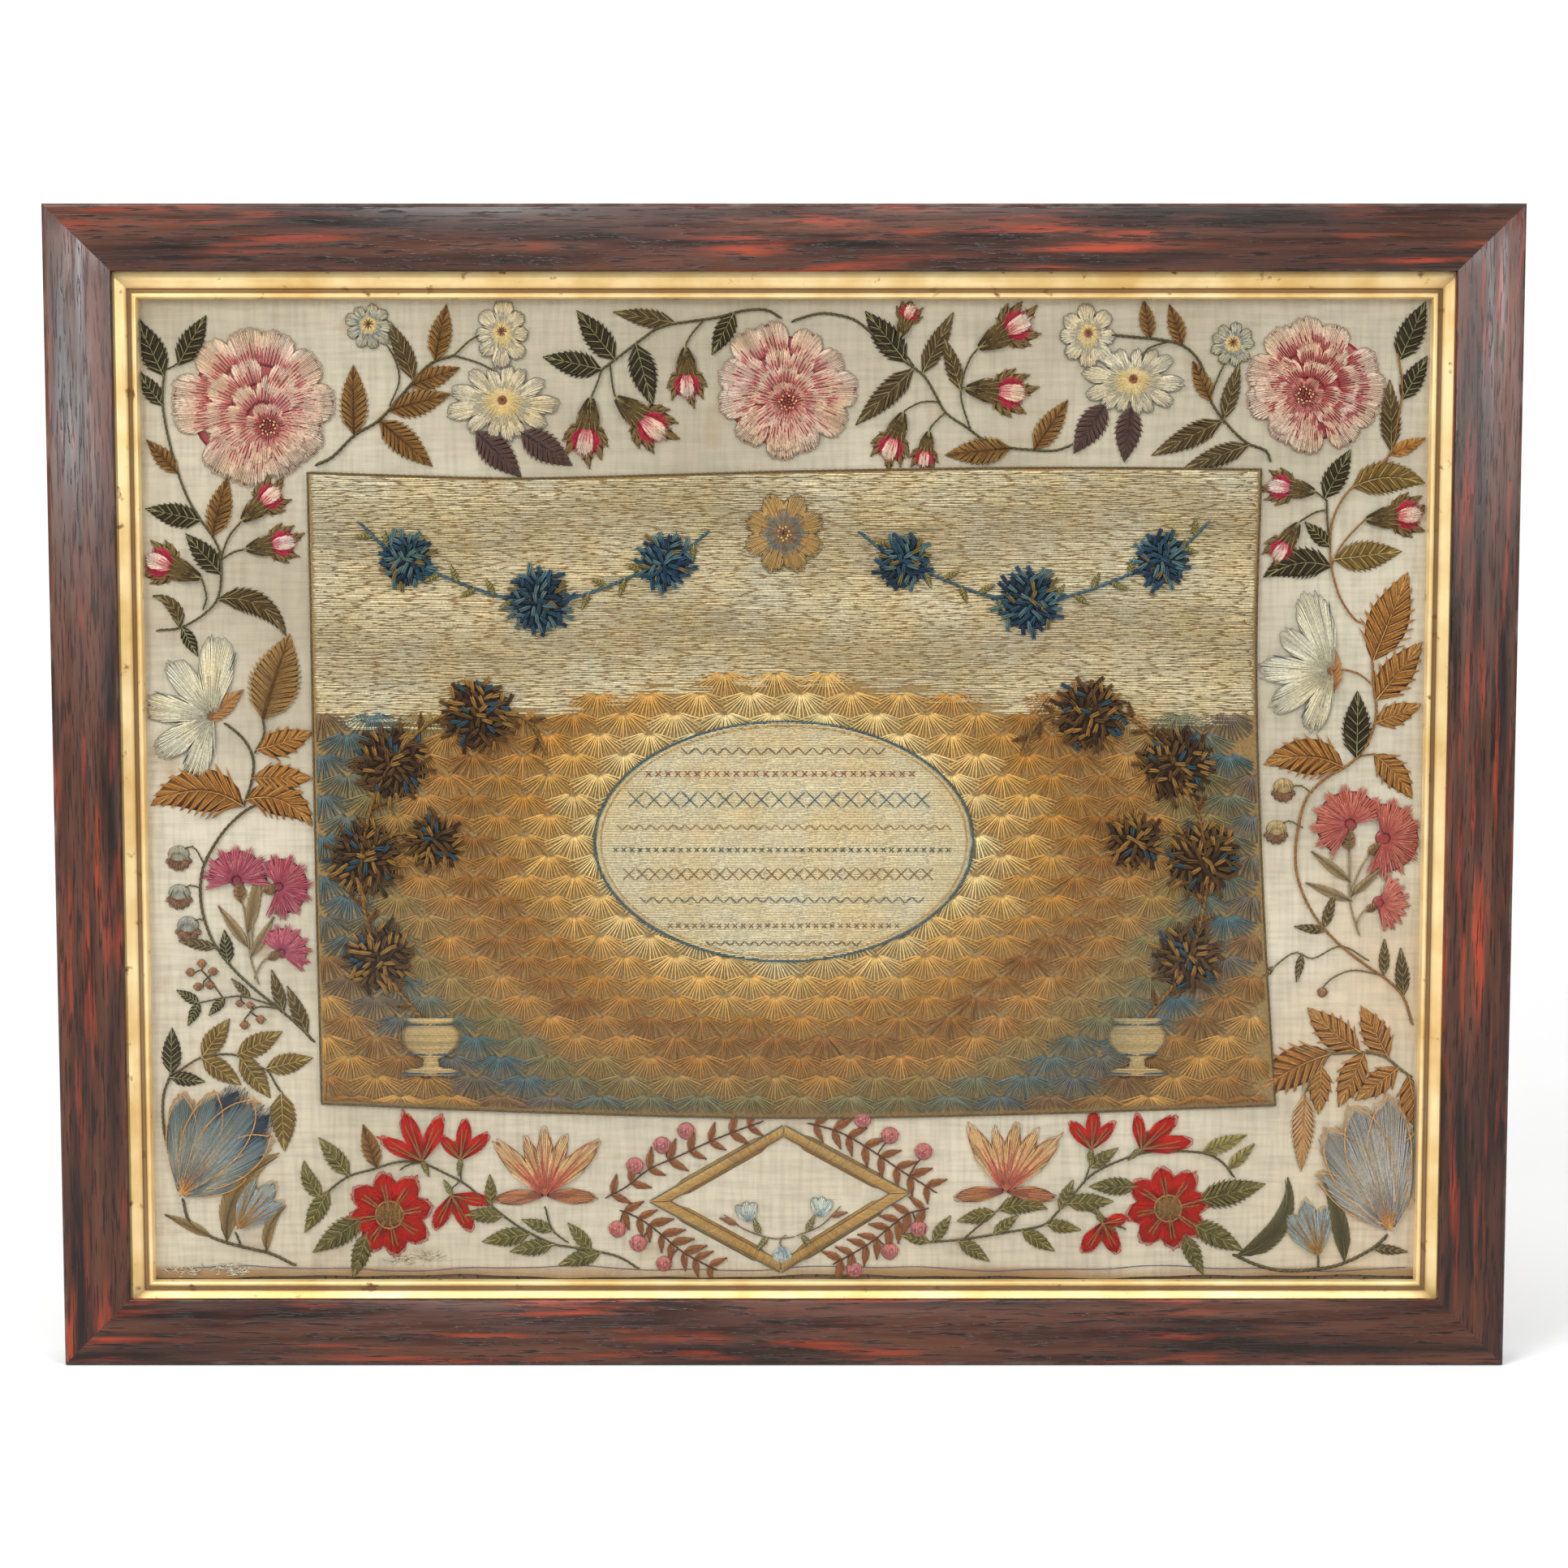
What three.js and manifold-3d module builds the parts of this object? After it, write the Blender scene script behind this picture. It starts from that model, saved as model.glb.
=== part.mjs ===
import * as THREE from 'three';
import Module from 'manifold-3d';

// Framed stumpwork sampler: wood frame, gilt slip, glass, stitched linen and backing board.
// Millimetres, +Z up, front towards -Y. The origin is the middle of the top rail's back face.

const frameWidth = 780;
const frameHeight = 621;
const frameDepth = 30;
const railFace = 34.3;
const railDrop = 6;
const lipThickness = 3;
const rebate = 9;
const slipUnderLip = 6;
const slipFlat = 4.9;
const slipGroove = 2.1;
const slipBead = 2.7;
const slipSag = 2.6;
const slipShift = 0.35;
const glassThickness = 2;
const glassEntry = 8;
const boardThickness = 3;
const boardBack = -3.4;
const linenThickness = 1.2;
const gap = 0.3;

// The layout is counted in threads of the linen from the middle of the frame:
// across to the right, up towards the top.
const thread = 0.44;
const middle = railFace / 2 - frameHeight / 2;

const openingX = frameWidth / 2 - railFace;
const openingZ = frameHeight / 2 - railFace;
const lipBack = -(frameDepth - railDrop - lipThickness);
const glassBack = lipBack + gap + glassThickness;
const slipFront = glassBack + gap;
const slipBack = -9;
const linenFront = slipBack + gap;
const clothBase = slipBack;
const panelThickness = 1.4;
const panelTop = clothBase - panelThickness - gap;
const clearance = 0.4;
const tallEnough = 9;

const wasm = await Module();
wasm.setup();

// A closed solid from points and triangles, turned so that its faces point out.
function solidOf(points, triangles) {
  let volume = 0;
  const a = new THREE.Vector3();
  const b = new THREE.Vector3();
  const c = new THREE.Vector3();
  for (const [i, j, k] of triangles) {
    a.fromArray(points[i]);
    b.fromArray(points[j]);
    c.fromArray(points[k]);
    volume += a.dot(b.cross(c));
  }
  const order = volume > 0 ? triangles : triangles.map(([i, j, k]) => [i, k, j]);
  return new wasm.Manifold(new wasm.Mesh({
    numProp: 3,
    vertProperties: new Float32Array(points.flat()),
    triVerts: new Uint32Array(order.flat()),
  }));
}

// Rings of equal length joined in turn, with a flat cap on each end.
function loft(rings, capTriangles) {
  const size = rings[0].length;
  const triangles = [];
  for (let r = 0; r + 1 < rings.length; r += 1) {
    for (let i = 0; i < size; i += 1) {
      const next = (i + 1) % size;
      const low = r * size;
      const high = low + size;
      triangles.push([low + i, high + i, high + next]);
      triangles.push([low + i, high + next, low + next]);
    }
  }
  const last = (rings.length - 1) * size;
  for (const [i, j, k] of capTriangles) {
    triangles.push([i, j, k]);
    triangles.push([last + i, last + k, last + j]);
  }
  return solidOf(rings.flat(), triangles);
}

// One mitred length of moulding, above the middle of a frame, from its section.
// The section runs inward from the outer edge (first column) and in depth (second column).
function moulding(halfLength, halfReach, section) {
  const mitreGap = gap * 0.75;
  const end = (side) => section.map(([inward, depth]) => [
    side * (halfLength - inward - mitreGap),
    depth,
    halfReach - inward,
  ]);
  const contour = section.map(([inward, depth]) => new THREE.Vector2(inward, depth));
  return loft([end(-1), end(1)], THREE.ShapeUtils.triangulateShape(contour, []));
}

const root = new THREE.Group();
root.name = 'sampler';
const placed = [];

function geometryOf(solid) {
  const mesh = solid.getMesh();
  const geometry = new THREE.BufferGeometry();
  geometry.setAttribute('position', new THREE.BufferAttribute(new Float32Array(mesh.vertProperties), 3));
  geometry.setIndex(new THREE.BufferAttribute(new Uint32Array(mesh.triVerts), 1));
  geometry.computeVertexNormals();
  return geometry;
}

function addMesh(name, solid, colour, roughness = 0.8, metalness = 0) {
  const material = new THREE.MeshStandardMaterial({ color: colour, roughness, metalness });
  const mesh = new THREE.Mesh(geometryOf(solid), material);
  mesh.name = name;
  root.add(mesh);
  return mesh;
}

// Frame and slip, four lengths each.
function arc(centreU, centreV, radius, from, to, steps) {
  const points = [];
  for (let i = 0; i <= steps; i += 1) {
    const turn = THREE.MathUtils.degToRad(from + (to - from) * i / steps);
    points.push([centreU + radius * Math.cos(turn), centreV + radius * Math.sin(turn)]);
  }
  return points;
}

function railSection() {
  const edgeRound = 2.2;
  const lipRound = 1.2;
  const front = -frameDepth;
  const inner = front + railDrop;
  return [
    [0, 0],
    ...arc(edgeRound, front + edgeRound, edgeRound, 180, 270, 3),
    ...arc(railFace - lipRound, inner + lipRound, lipRound, 260, 360, 2),
    [railFace, lipBack],
    [railFace - rebate, lipBack],
    [railFace - rebate, 0],
  ];
}

function slipSection() {
  const flatEnd = slipUnderLip + slipFlat;
  const grooveEnd = flatEnd + slipGroove;
  const beadEnd = grooveEnd + slipBead;
  const flatLow = slipBack - 5;
  const grooveLow = slipBack - 4;
  return [
    [0, slipBack],
    [0, slipFront],
    [slipUnderLip, slipFront],
    [flatEnd, flatLow],
    [flatEnd + 0.5, grooveLow],
    [grooveEnd - 0.4, grooveLow],
    ...arc(grooveEnd + slipBead / 2, grooveLow, slipBead / 2, 190, 350, 4),
    [beadEnd, slipBack],
  ];
}

function addSides(prefix, halfX, halfZ, shiftX, shiftZ, section, colour, roughness, metalness) {
  const sides = [['top', 0], ['right', 1], ['bottom', 2], ['left', 3]];
  for (const [side, quarter] of sides) {
    const upright = quarter % 2 === 1;
    const solid = upright ? moulding(halfZ, halfX, section) : moulding(halfX, halfZ, section);
    const mesh = addMesh(`${prefix}_${side}`, solid, colour, roughness, metalness);
    mesh.rotation.y = quarter * Math.PI / 2;
    mesh.position.set(shiftX, 0, middle + shiftZ);
  }
}

addSides('rail', frameWidth / 2, frameHeight / 2, 0, 0, railSection(), 0x3a2018, 0.35, 0);
addSides('slip', openingX + slipUnderLip, openingZ + slipUnderLip, slipShift, -slipSag,
  slipSection(), 0xc9a24e, 0.35, 0.8);

// Flat sheets in the rebate, resting on its lower ledge.
function plate(name, halfX, halfZ, thickness, front, colour, roughness) {
  const geometry = new THREE.BoxGeometry(2 * halfX, thickness, 2 * halfZ);
  const material = new THREE.MeshStandardMaterial({ color: colour, roughness });
  const mesh = new THREE.Mesh(geometry, material);
  mesh.name = name;
  const rest = openingZ + rebate - gap - halfZ;
  mesh.position.set(0, front + thickness / 2, middle - rest);
  root.add(mesh);
}

const paneX = openingX + glassEntry;
const paneZ = openingZ + glassEntry;
plate('glass', paneX, paneZ, glassThickness, glassBack - glassThickness, 0xdfe8e4, 0.05);
plate('backing', paneX, paneZ, boardThickness, boardBack - boardThickness, 0xb39268, 0.9);

// The linen: an even border under the slip, soft hollows inside it and a waved lower edge.
function linenSolid() {
  const across = 10;
  const down = 7;
  const halfX = openingX + 5.8;
  const top = openingZ + 4.8;
  const hem = -(openingZ - 8.6);
  const points = [];
  for (const layer of [0, 1]) {
    for (let j = 0; j <= down; j += 1) {
      for (let i = 0; i <= across; i += 1) {
        const u = i / across;
        const v = j / down;
        const x = halfX * (2 * u - 1);
        const wave = 0.8 * Math.sin(9.5 * u + 0.6) + 0.5 * Math.sin(23 * u);
        const z = top + (hem + wave - top) * v;
        const inside = Math.sin(Math.PI * u) * Math.min(1, 5 * v);
        const dip = 0.33 * inside * (1 + Math.sin(11 * u + 4 * v) * Math.cos(7 * v + 3 * u));
        points.push([x, linenFront + dip + layer * linenThickness, middle + z]);
      }
    }
  }
  const row = across + 1;
  const layerSize = row * (down + 1);
  const triangles = [];
  for (let j = 0; j < down; j += 1) {
    for (let i = 0; i < across; i += 1) {
      const a = j * row + i;
      const corners = [a, a + 1, a + row + 1, a + row];
      triangles.push([corners[0], corners[1], corners[2]], [corners[0], corners[2], corners[3]]);
      const [p, q, r, s] = corners.map((k) => k + layerSize);
      triangles.push([p, r, q], [p, s, r]);
    }
  }
  const rim = [];
  for (let i = 0; i < across; i += 1) {
    rim.push(i);
  }
  for (let j = 0; j < down; j += 1) {
    rim.push(j * row + across);
  }
  for (let i = across; i > 0; i -= 1) {
    rim.push(down * row + i);
  }
  for (let j = down; j > 0; j -= 1) {
    rim.push(j * row);
  }
  rim.forEach((a, n) => {
    const b = rim[(n + 1) % rim.length];
    triangles.push([b, a, a + layerSize], [b, a + layerSize, b + layerSize]);
  });
  return solidOf(points, triangles);
}

addMesh('linen', linenSolid(), 0xd8cdb2, 0.95);

// Stitched forms stand on a base plane. Each maker takes a grow value: 0 gives the form itself,
// and more gives the tall clearance shape that later pieces are cut back from.
function place(x, z, height, base) {
  return [x * thread, base - height, middle + z * thread];
}

// A ribbon along a path of stations [x, z, direction, half width in mm, rise in mm].
function ribbon(stations, base, grow) {
  const cut = grow > 0;
  const rings = stations.map(([x, z, direction, half, rise]) => {
    const side = (half + grow) / thread;
    const sx = -Math.sin(direction) * side;
    const sz = Math.cos(direction) * side;
    if (cut) {
      return [
        place(x + sx, z + sz, -1, base),
        place(x + sx, z + sz, tallEnough, base),
        place(x - sx, z - sz, tallEnough, base),
        place(x - sx, z - sz, -1, base),
      ];
    }
    return [place(x + sx, z + sz, 0, base), place(x, z, rise, base), place(x - sx, z - sz, 0, base)];
  });
  return loft(rings, cut ? [[0, 1, 2], [0, 2, 3]] : [[0, 1, 2]]);
}

// A padded leaf or petal: its axis bends evenly, and its width swells to the shoulder and tapers.
function leaf({ x, z, turn, length, bend = 0, plump = 0.38, rise = 1.5, blunt = 0.1 }, base, grow) {
  const profile = bend === 0
    ? [[0, 0.12], [0.42, 1], [1, blunt]]
    : [[0, 0.12], [0.28, 0.9], [0.68, 0.92], [1, blunt]];
  const start = THREE.MathUtils.degToRad(turn);
  const whole = THREE.MathUtils.degToRad(bend) || 1e-4;
  const reach = length + 2 * grow / thread;
  const back = 2 + grow / thread;
  const stations = profile.map(([t, share]) => {
    const direction = start + whole * t;
    const px = x + reach * (Math.sin(direction) - Math.sin(start)) / whole - back * Math.cos(start);
    const pz = z + reach * (Math.cos(start) - Math.cos(direction)) / whole - back * Math.sin(start);
    return [px, pz, direction, share * length * plump * thread / 2, 0.5 + share * (rise - 0.5)];
  });
  return ribbon(stations, base, grow);
}

function routeCurve(route) {
  return new THREE.CatmullRomCurve3(route.map(([x, z]) => new THREE.Vector3(x, 0, z)));
}

// The joints of a stem's straight runs, evenly spaced along a curve through hand-placed points.
function stemJoints(route) {
  const curve = routeCurve(route);
  const stepLength = 60;
  const steps = Math.max(route.length > 2 ? 2 : 1, Math.round(curve.getLength() / stepLength));
  const joints = [];
  for (let i = 0; i <= steps; i += 1) {
    const p = curve.getPointAt(i / steps);
    const t = curve.getTangentAt(i / steps);
    joints.push({ x: p.x, z: p.z, direction: Math.atan2(t.z, t.x) });
  }
  return joints;
}

// A couched stem.
function stem([width, ...route], base, grow, rise = 1.1) {
  const stations = stemJoints(route).map(({ x, z, direction }) => [x, z, direction, width / 2, rise]);
  return ribbon(stations, base, grow);
}

// Rings around one point, joined upwards and closed to the point below and above.
function stack(rings, below, above) {
  const size = rings[0].length;
  const points = [...rings.flat(), below, above];
  const under = rings.length * size;
  const last = under - size;
  const triangles = [];
  for (let i = 0; i < size; i += 1) {
    const next = (i + 1) % size;
    triangles.push([under, i, next], [under + 1, last + next, last + i]);
    for (let a = 0; a < last; a += size) {
      triangles.push([a + i, a + size + i, a + size + next], [a + i, a + size + next, a + next]);
    }
  }
  return solidOf(points, triangles);
}

// A domed form around a point: its radius depends on the angle, and rows of [share, height] raise it.
function mound({ x, z, radius, levels, steps }, base, grow) {
  const outline = [];
  for (let i = 0; i < steps; i += 1) {
    const angle = 2 * Math.PI * i / steps;
    outline.push([angle, radius(angle)]);
  }
  return dome({ x, z, outline, levels }, base, grow);
}

function dome({ x, z, outline, levels }, base, grow) {
  const low = grow > 0 ? -1 : 0;
  const rows = [[1, low], ...(grow > 0 ? [[1, tallEnough]] : levels)];
  const ring = ([share, height]) => outline.map(([angle, radius]) => {
    const reach = (radius + grow / thread) * share;
    return place(x + reach * Math.cos(angle), z + reach * Math.sin(angle), height, base);
  });
  return stack(rows.map(ring), place(x, z, low, base), place(x, z, rows[rows.length - 1][1], base));
}

function ovalRadius(across, up, lobes = 0, depth = 0, phase = 0) {
  return (angle) => {
    const oval = across * up / Math.hypot(up * Math.cos(angle), across * Math.sin(angle));
    return oval * (1 - depth * (0.5 - 0.5 * Math.cos(lobes * angle + phase)));
  };
}

// The window inside the slip, which the stitching stays within.
const sight = {
  x: openingX + slipUnderLip - (slipUnderLip + slipFlat + slipGroove + slipBead) - 0.35,
  z: openingZ - slipFlat - slipGroove - slipBead - 0.35,
};
function windowSolid() {
  const deep = 20;
  const corners = [[-1, -1], [1, -1], [1, 1], [-1, 1]];
  const ring = (y) => corners.map(([i, j]) => [slipShift + i * sight.x, y, middle - slipSag + j * sight.z]);
  return loft([ring(0), ring(-deep)], [[0, 1, 2], [0, 2, 3]]);
}
const sightWindow = windowSolid();

// A piece is a list of makers. It is joined, cut back from its neighbours and kept as one body.
function addPiece(name, colour, makers, base = clothBase, roughness = 0.85) {
  const join = (grow) => makers.map((make) => make(base, grow)).reduce((sum, next) => sum.add(next));
  let solid = join(0).intersect(sightWindow);
  const box = solid.boundingBox();
  for (const other of placed) {
    const near = other.base === base
      && other.box.min[0] < box.max[0] && other.box.max[0] > box.min[0]
      && other.box.min[2] < box.max[2] && other.box.max[2] > box.min[2];
    if (near) {
      solid = solid.subtract(other.solid);
    }
  }
  const bodies = solid.decompose().sort((one, two) => two.volume() - one.volume());
  addMesh(name, bodies[0], colour, roughness);
  const keepOut = join(clearance);
  placed.push({ solid: keepOut, box: keepOut.boundingBox(), base });
}

// Radial flowers.
function peony(name, x, z, across, up, colour) {
  const petals = 11;
  const levels = [[1, 1.2], [0.9, 2.6], [0.55, 2.4], [0.4, 3.6]];
  const bloom = { x, z, radius: ovalRadius(across, up, petals, 0.1), levels, steps: petals * 2 };
  addPiece(name, colour, [(base, grow) => mound(bloom, base, grow)]);
}

function daisy(x, z, across, up, petals) {
  const levels = [[0.72, 1.6], [0.3, 2.2]];
  const bloom = { x, z, radius: ovalRadius(across, up, petals, 0.22), levels, steps: petals * 2 };
  return (base, grow) => mound(bloom, base, grow);
}

function disc(x, z, across, up, rise = 1.8) {
  const bloom = { x, z, radius: ovalRadius(across, up), levels: [[0.7, rise]], steps: 6 };
  return (base, grow) => mound(bloom, base, grow);
}

// A fan of cut threads round its root, between two angles, with a toothed edge.
function fan(x, z, reach, from, to, teeth = 9) {
  const steps = 16;
  const start = THREE.MathUtils.degToRad(from);
  const sweep = THREE.MathUtils.degToRad(to - from);
  const radius = (angle) => {
    const turned = THREE.MathUtils.euclideanModulo(angle - start, 2 * Math.PI);
    const open = turned <= sweep;
    return open ? reach * (0.93 + 0.07 * Math.cos(teeth * 2 * Math.PI * turned / sweep)) : reach * 0.2;
  };
  const bloom = { x, z, radius, levels: [[0.6, 2.5]], steps };
  return (base, grow) => mound(bloom, base, grow);
}

function oneLeaf(values) {
  return (base, grow) => leaf(values, base, grow);
}

function oneStem(values) {
  return (base, grow) => stem(values, base, grow);
}

// Petals of one flower round its root: rows of [turn, length, plump] in rising order of turn.
// Each petal has two shoulders and a tip, and between two petals the outline falls back.
function petalsAt(x, z, rows, rise = 2.4, blunt = 0.3) {
  const shoulderAt = 0.8;
  const mostOfRoom = 0.4;
  const rooms = rows.map(([turn], n) => {
    const after = rows[(n + 1) % rows.length][0];
    return THREE.MathUtils.degToRad(THREE.MathUtils.euclideanModulo(after - turn, 360) || 360);
  });
  const halves = rows.map(([, , plump], n) => {
    const room = Math.min(rooms[n], rooms[(n + rows.length - 1) % rows.length]);
    return Math.min(Math.atan(plump * 0.5 / shoulderAt), room * mostOfRoom);
  });
  const outline = [];
  rows.forEach(([turn, length], n) => {
    const angle = THREE.MathUtils.degToRad(turn);
    const half = halves[n];
    outline.push([angle - half, length * (shoulderAt - 0.1 + 0.2 * blunt)]);
    outline.push([angle, length]);
    outline.push([angle + half, length * (shoulderAt - 0.1 + 0.2 * blunt)]);
    const nextLength = rows[(n + 1) % rows.length][1];
    const open = rooms[n] - half - halves[(n + 1) % rows.length];
    const valley = Math.min(length, nextLength) * Math.max(0.14, 0.62 - 0.9 * open);
    const steps = open > 1.6 ? 3 : 1;
    for (let i = 1; i <= steps; i += 1) {
      outline.push([angle + half + open * i / (steps + 1), steps > 1 ? Math.min(8, valley) : valley]);
    }
  });
  const levels = [[0.62, rise]];
  return [(base, grow) => dome({ x, z, outline, levels }, base, grow)];
}

// A rose bud: its calyx and the petals that show at its tip.
function bud(x, z, turn, length) {
  const angle = THREE.MathUtils.degToRad(turn);
  const tipX = x + 0.55 * length * Math.cos(angle);
  const tipZ = z + 0.55 * length * Math.sin(angle);
  return [
    oneLeaf({ x, z, turn, length: length * 0.84, plump: 0.5, rise: 1.9, blunt: 0.3 }),
    oneLeaf({ x: tipX, z: tipZ, turn, length: length * 0.45, plump: 0.6, rise: 2.4, blunt: 0.34 }),
  ];
}

function nearestOn(stems, x, z) {
  const from = new THREE.Vector3(x, 0, z);
  let best = { distance: Infinity };
  for (const [, ...route] of stems) {
    const joints = stemJoints(route).map((joint) => new THREE.Vector3(joint.x, 0, joint.z));
    for (let i = 0; i + 1 < joints.length; i += 1) {
      const run = new THREE.Line3(joints[i], joints[i + 1]);
      const point = run.closestPointToPoint(from, true, new THREE.Vector3());
      const distance = point.distanceTo(from);
      if (distance < best.distance) {
        best = { distance, x: point.x, z: point.z };
      }
    }
  }
  return best;
}

// Moves a start onto the nearest stem when it is close to one.
function seated(stems, x, z) {
  const reach = 12;
  const near = nearestOn(stems, x, z);
  return near.distance < reach ? [near.x, near.z] : [x, z];
}

// Each branch starts or ends on a stem before it.
function seatedStems(stems) {
  const done = [stems[0]];
  for (const [width, ...route] of stems.slice(1)) {
    const [first, last] = [route[0], route[route.length - 1]];
    if (nearestOn(done, ...first).distance < nearestOn(done, ...last).distance) {
      done.push([width, seated(done, ...first), ...route.slice(1)]);
    } else {
      done.push([width, ...route.slice(0, -1), seated(done, ...last)]);
    }
  }
  return done;
}

// A footstalk from the nearest stem wherever a leaf or bud starts away from it.
function footstalks(stems, starts) {
  const reach = 1.5;
  const inside = 5;
  const stalks = [];
  for (const [x, z, turn] of starts) {
    const from = nearestOn(stems, x, z);
    if (from.distance > reach) {
      const angle = THREE.MathUtils.degToRad(turn);
      const end = [x + inside * Math.cos(angle), z + inside * Math.sin(angle)];
      stalks.push(oneStem([1, [from.x, from.z], end]));
    }
  }
  return stalks;
}

// Leaf kinds: width as a share of length, and rise in mm.
const leafKinds = {
  dark: { plump: 0.4, rise: 1.5 },
  bronze: { plump: 0.34, rise: 1.5 },
  slim: { plump: 0.25, rise: 1.3 },
  broad: { plump: 0.5, rise: 1.6 },
  rust: { plump: 0.42, rise: 1.4 },
  blade: { plump: 0.16, rise: 1.4 },
};

function spray(name, colour, { stems, leaves, buds = [], berries = [], extra = [] }) {
  const routes = seatedStems(stems);
  const foliage = leaves.map(([kind, leafX, leafZ, turn, length, bend = 0]) => {
    const [x, z] = seated(routes, leafX, leafZ);
    return { ...leafKinds[kind], x, z, turn, length, bend };
  });
  const starts = [...foliage.map(({ x, z, turn }) => [x, z, turn]), ...buds];
  addPiece(name, colour, [
    ...routes.map(oneStem),
    ...foliage.map(oneLeaf),
    ...buds.flatMap(([x, z, turn, length]) => bud(x, z, turn, length)),
    ...berries.map(([x, z, size]) => disc(x, z, size, size)),
    ...extra,
    ...footstalks(routes, starts),
  ]);
}

// The centre panel: a stitched plate with waved edges and a couched rim.
const panelRoutes = {
  top: [[-582, 390], [-460, 386], [-324, 383], [-150, 387], [34, 392], [332, 396], [583, 394]],
  right: [[583, 394], [580, 155], [592, -126], [611, -391]],
  bottom: [[611, -391], [300, -402], [0, -407], [-300, -400], [-575, -389]],
  left: [[-575, -389], [-578, -126], [-580, 175], [-582, 390]],
};

function panel(base, grow) {
  const routes = Object.values(panelRoutes);
  const outline = routes.flatMap((route) => routeCurve(route).getPoints(8).slice(0, -1));
  const spread = 1 + grow / (390 * thread);
  const rimShare = 0.994;
  const ring = ([share, level]) => outline.map((p) => place(p.x * share, p.z * share, level, base));
  const rimTop = panelThickness + 0.5;
  const rows = grow > 0
    ? [[spread, -1], [spread, tallEnough]]
    : [[1, 0], [1, rimTop], [rimShare, rimTop], [rimShare - 0.002, panelThickness]];
  const [low, high] = [rows[0][1], rows[rows.length - 1][1]];
  return stack(rows.map(ring), place(0, 0, low, base), place(0, 0, high, base));
}

addPiece('ground_panel', 0xa08a5c, [panel]);

// Flowers of the border.
peony('peony_left', -644, 471, 99, 94, 0xd9a6a2);
peony('peony_middle', 0, 489, 86, 82, 0xd9a6a2);
peony('peony_right', 649, 495, 84, 79, 0xc96a6c);

addPiece('daisies_left', 0xd9d0b4, [
  daisy(-343, 557, 30, 43, 8),
  daisy(-343, 474, 65, 44, 12),
  oneLeaf({ x: -376, z: 440, turn: -45, length: 74, plump: 0.42 }),
  oneLeaf({ x: -322, z: 440, turn: -33, length: 72, plump: 0.42 }),
]);
addPiece('daisies_right', 0xd9d0b4, [
  daisy(370, 555, 32, 44, 8),
  daisy(425, 500, 62, 38, 12),
  oneLeaf({ x: 392, z: 474, turn: -122, length: 66, plump: 0.5 }),
  oneLeaf({ x: 424, z: 470, turn: -97, length: 62, plump: 0.46 }),
]);
addPiece('small_daisy_left', 0xb9b49c, [daisy(-505, 567, 29, 26, 8)]);
addPiece('small_daisy_right', 0xb9b49c, [daisy(546, 545, 25, 27, 8)]);

const magnoliaRight = [[110, 90, 0.42], [142, 70, 0.34], [180, 80, 0.34], [213, 80, 0.36], [254, 74, 0.34]];
const magnoliaLeft = [[86, 90, 0.44], [127, 80, 0.38], [170, 82, 0.36], [218, 76, 0.4], [254, 76, 0.34]];
addPiece('magnolia_right', 0xe3dcc4, [
  ...petalsAt(672, 148, magnoliaRight),
  oneLeaf({ x: 676, z: 122, turn: 92, length: 60, plump: 0.45, rise: 2 }),
]);
addPiece('magnolia_left', 0xe3dcc4, [
  ...petalsAt(-704, 92, magnoliaLeft),
  oneLeaf({ x: -712, z: 86, turn: 40, length: 62, plump: 0.45, rise: 2 }),
]);

addPiece('carnations_left', 0xb5485f, [
  fan(-676, -110, 44, -12, 198),
  fan(-624, -118, 42, -115, 130),
  fan(-622, -200, 36, -45, 150),
  oneStem([1.2, [-676, -112], [-668, -150], [-661, -207], [-652, -239]]),
  oneStem([1.2, [-624, -120], [-650, -126], [-657, -160], [-661, -207]]),
  oneStem([1.2, [-624, -198], [-645, -210], [-657, -232]]),
  oneLeaf({ x: -663, z: -195, turn: 125, length: 66, plump: 0.14 }),
  oneLeaf({ x: -661, z: -207, turn: 60, length: 60, plump: 0.14 }),
]);
addPiece('carnations_right', 0xb5485f, [
  fan(698, -40, 49, 10, 245),
  fan(741, -58, 52, -115, 105),
  fan(736, -138, 38, -80, 70),
  oneStem([1.2, [697, -42], [699, -90], [701, -140], [712, -178]]),
  oneStem([1.2, [741, -58], [716, -90], [702, -124]]),
  oneStem([1.2, [736, -138], [716, -150], [708, -168]]),
  oneLeaf({ x: 700, z: -112, turn: 142, length: 62, plump: 0.14 }),
  oneLeaf({ x: 702, z: -136, turn: 158, length: 62, plump: 0.14 }),
  oneLeaf({ x: 702, z: -130, turn: 43, length: 56, plump: 0.16 }),
]);

const tulipLeft = [[14, 84, 0.22], [33, 134, 0.28], [52, 152, 0.26], [70, 132, 0.24], [88, 122, 0.22]];
const tulipRight = [[76, 126, 0.22], [92, 168, 0.24], [107, 160, 0.24], [123, 150, 0.26], [142, 110, 0.22]];
addPiece('tulip_left', 0x9a9f9c, petalsAt(-752, -504, tulipLeft, 2.6));
addPiece('tulip_right', 0xb4aea4, petalsAt(757, -548, tulipRight, 2.6));

const lilyLeft = [
  [-4, 66, 0.28], [45, 98, 0.24], [71, 80, 0.24], [90, 84, 0.2], [109, 76, 0.26], [133, 92, 0.26],
  [186, 66, 0.28],
];
const lilyRight = [
  [-8, 66, 0.28], [45, 98, 0.24], [63, 86, 0.22], [81, 86, 0.2], [99, 78, 0.24], [119, 94, 0.26],
  [188, 66, 0.28],
];
addPiece('lily_left', 0xd19a6a, petalsAt(-298, -504, lilyLeft, 2, 0.08));
addPiece('lily_right', 0xd19a6a, petalsAt(276, -499, lilyRight, 2, 0.08));

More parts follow.
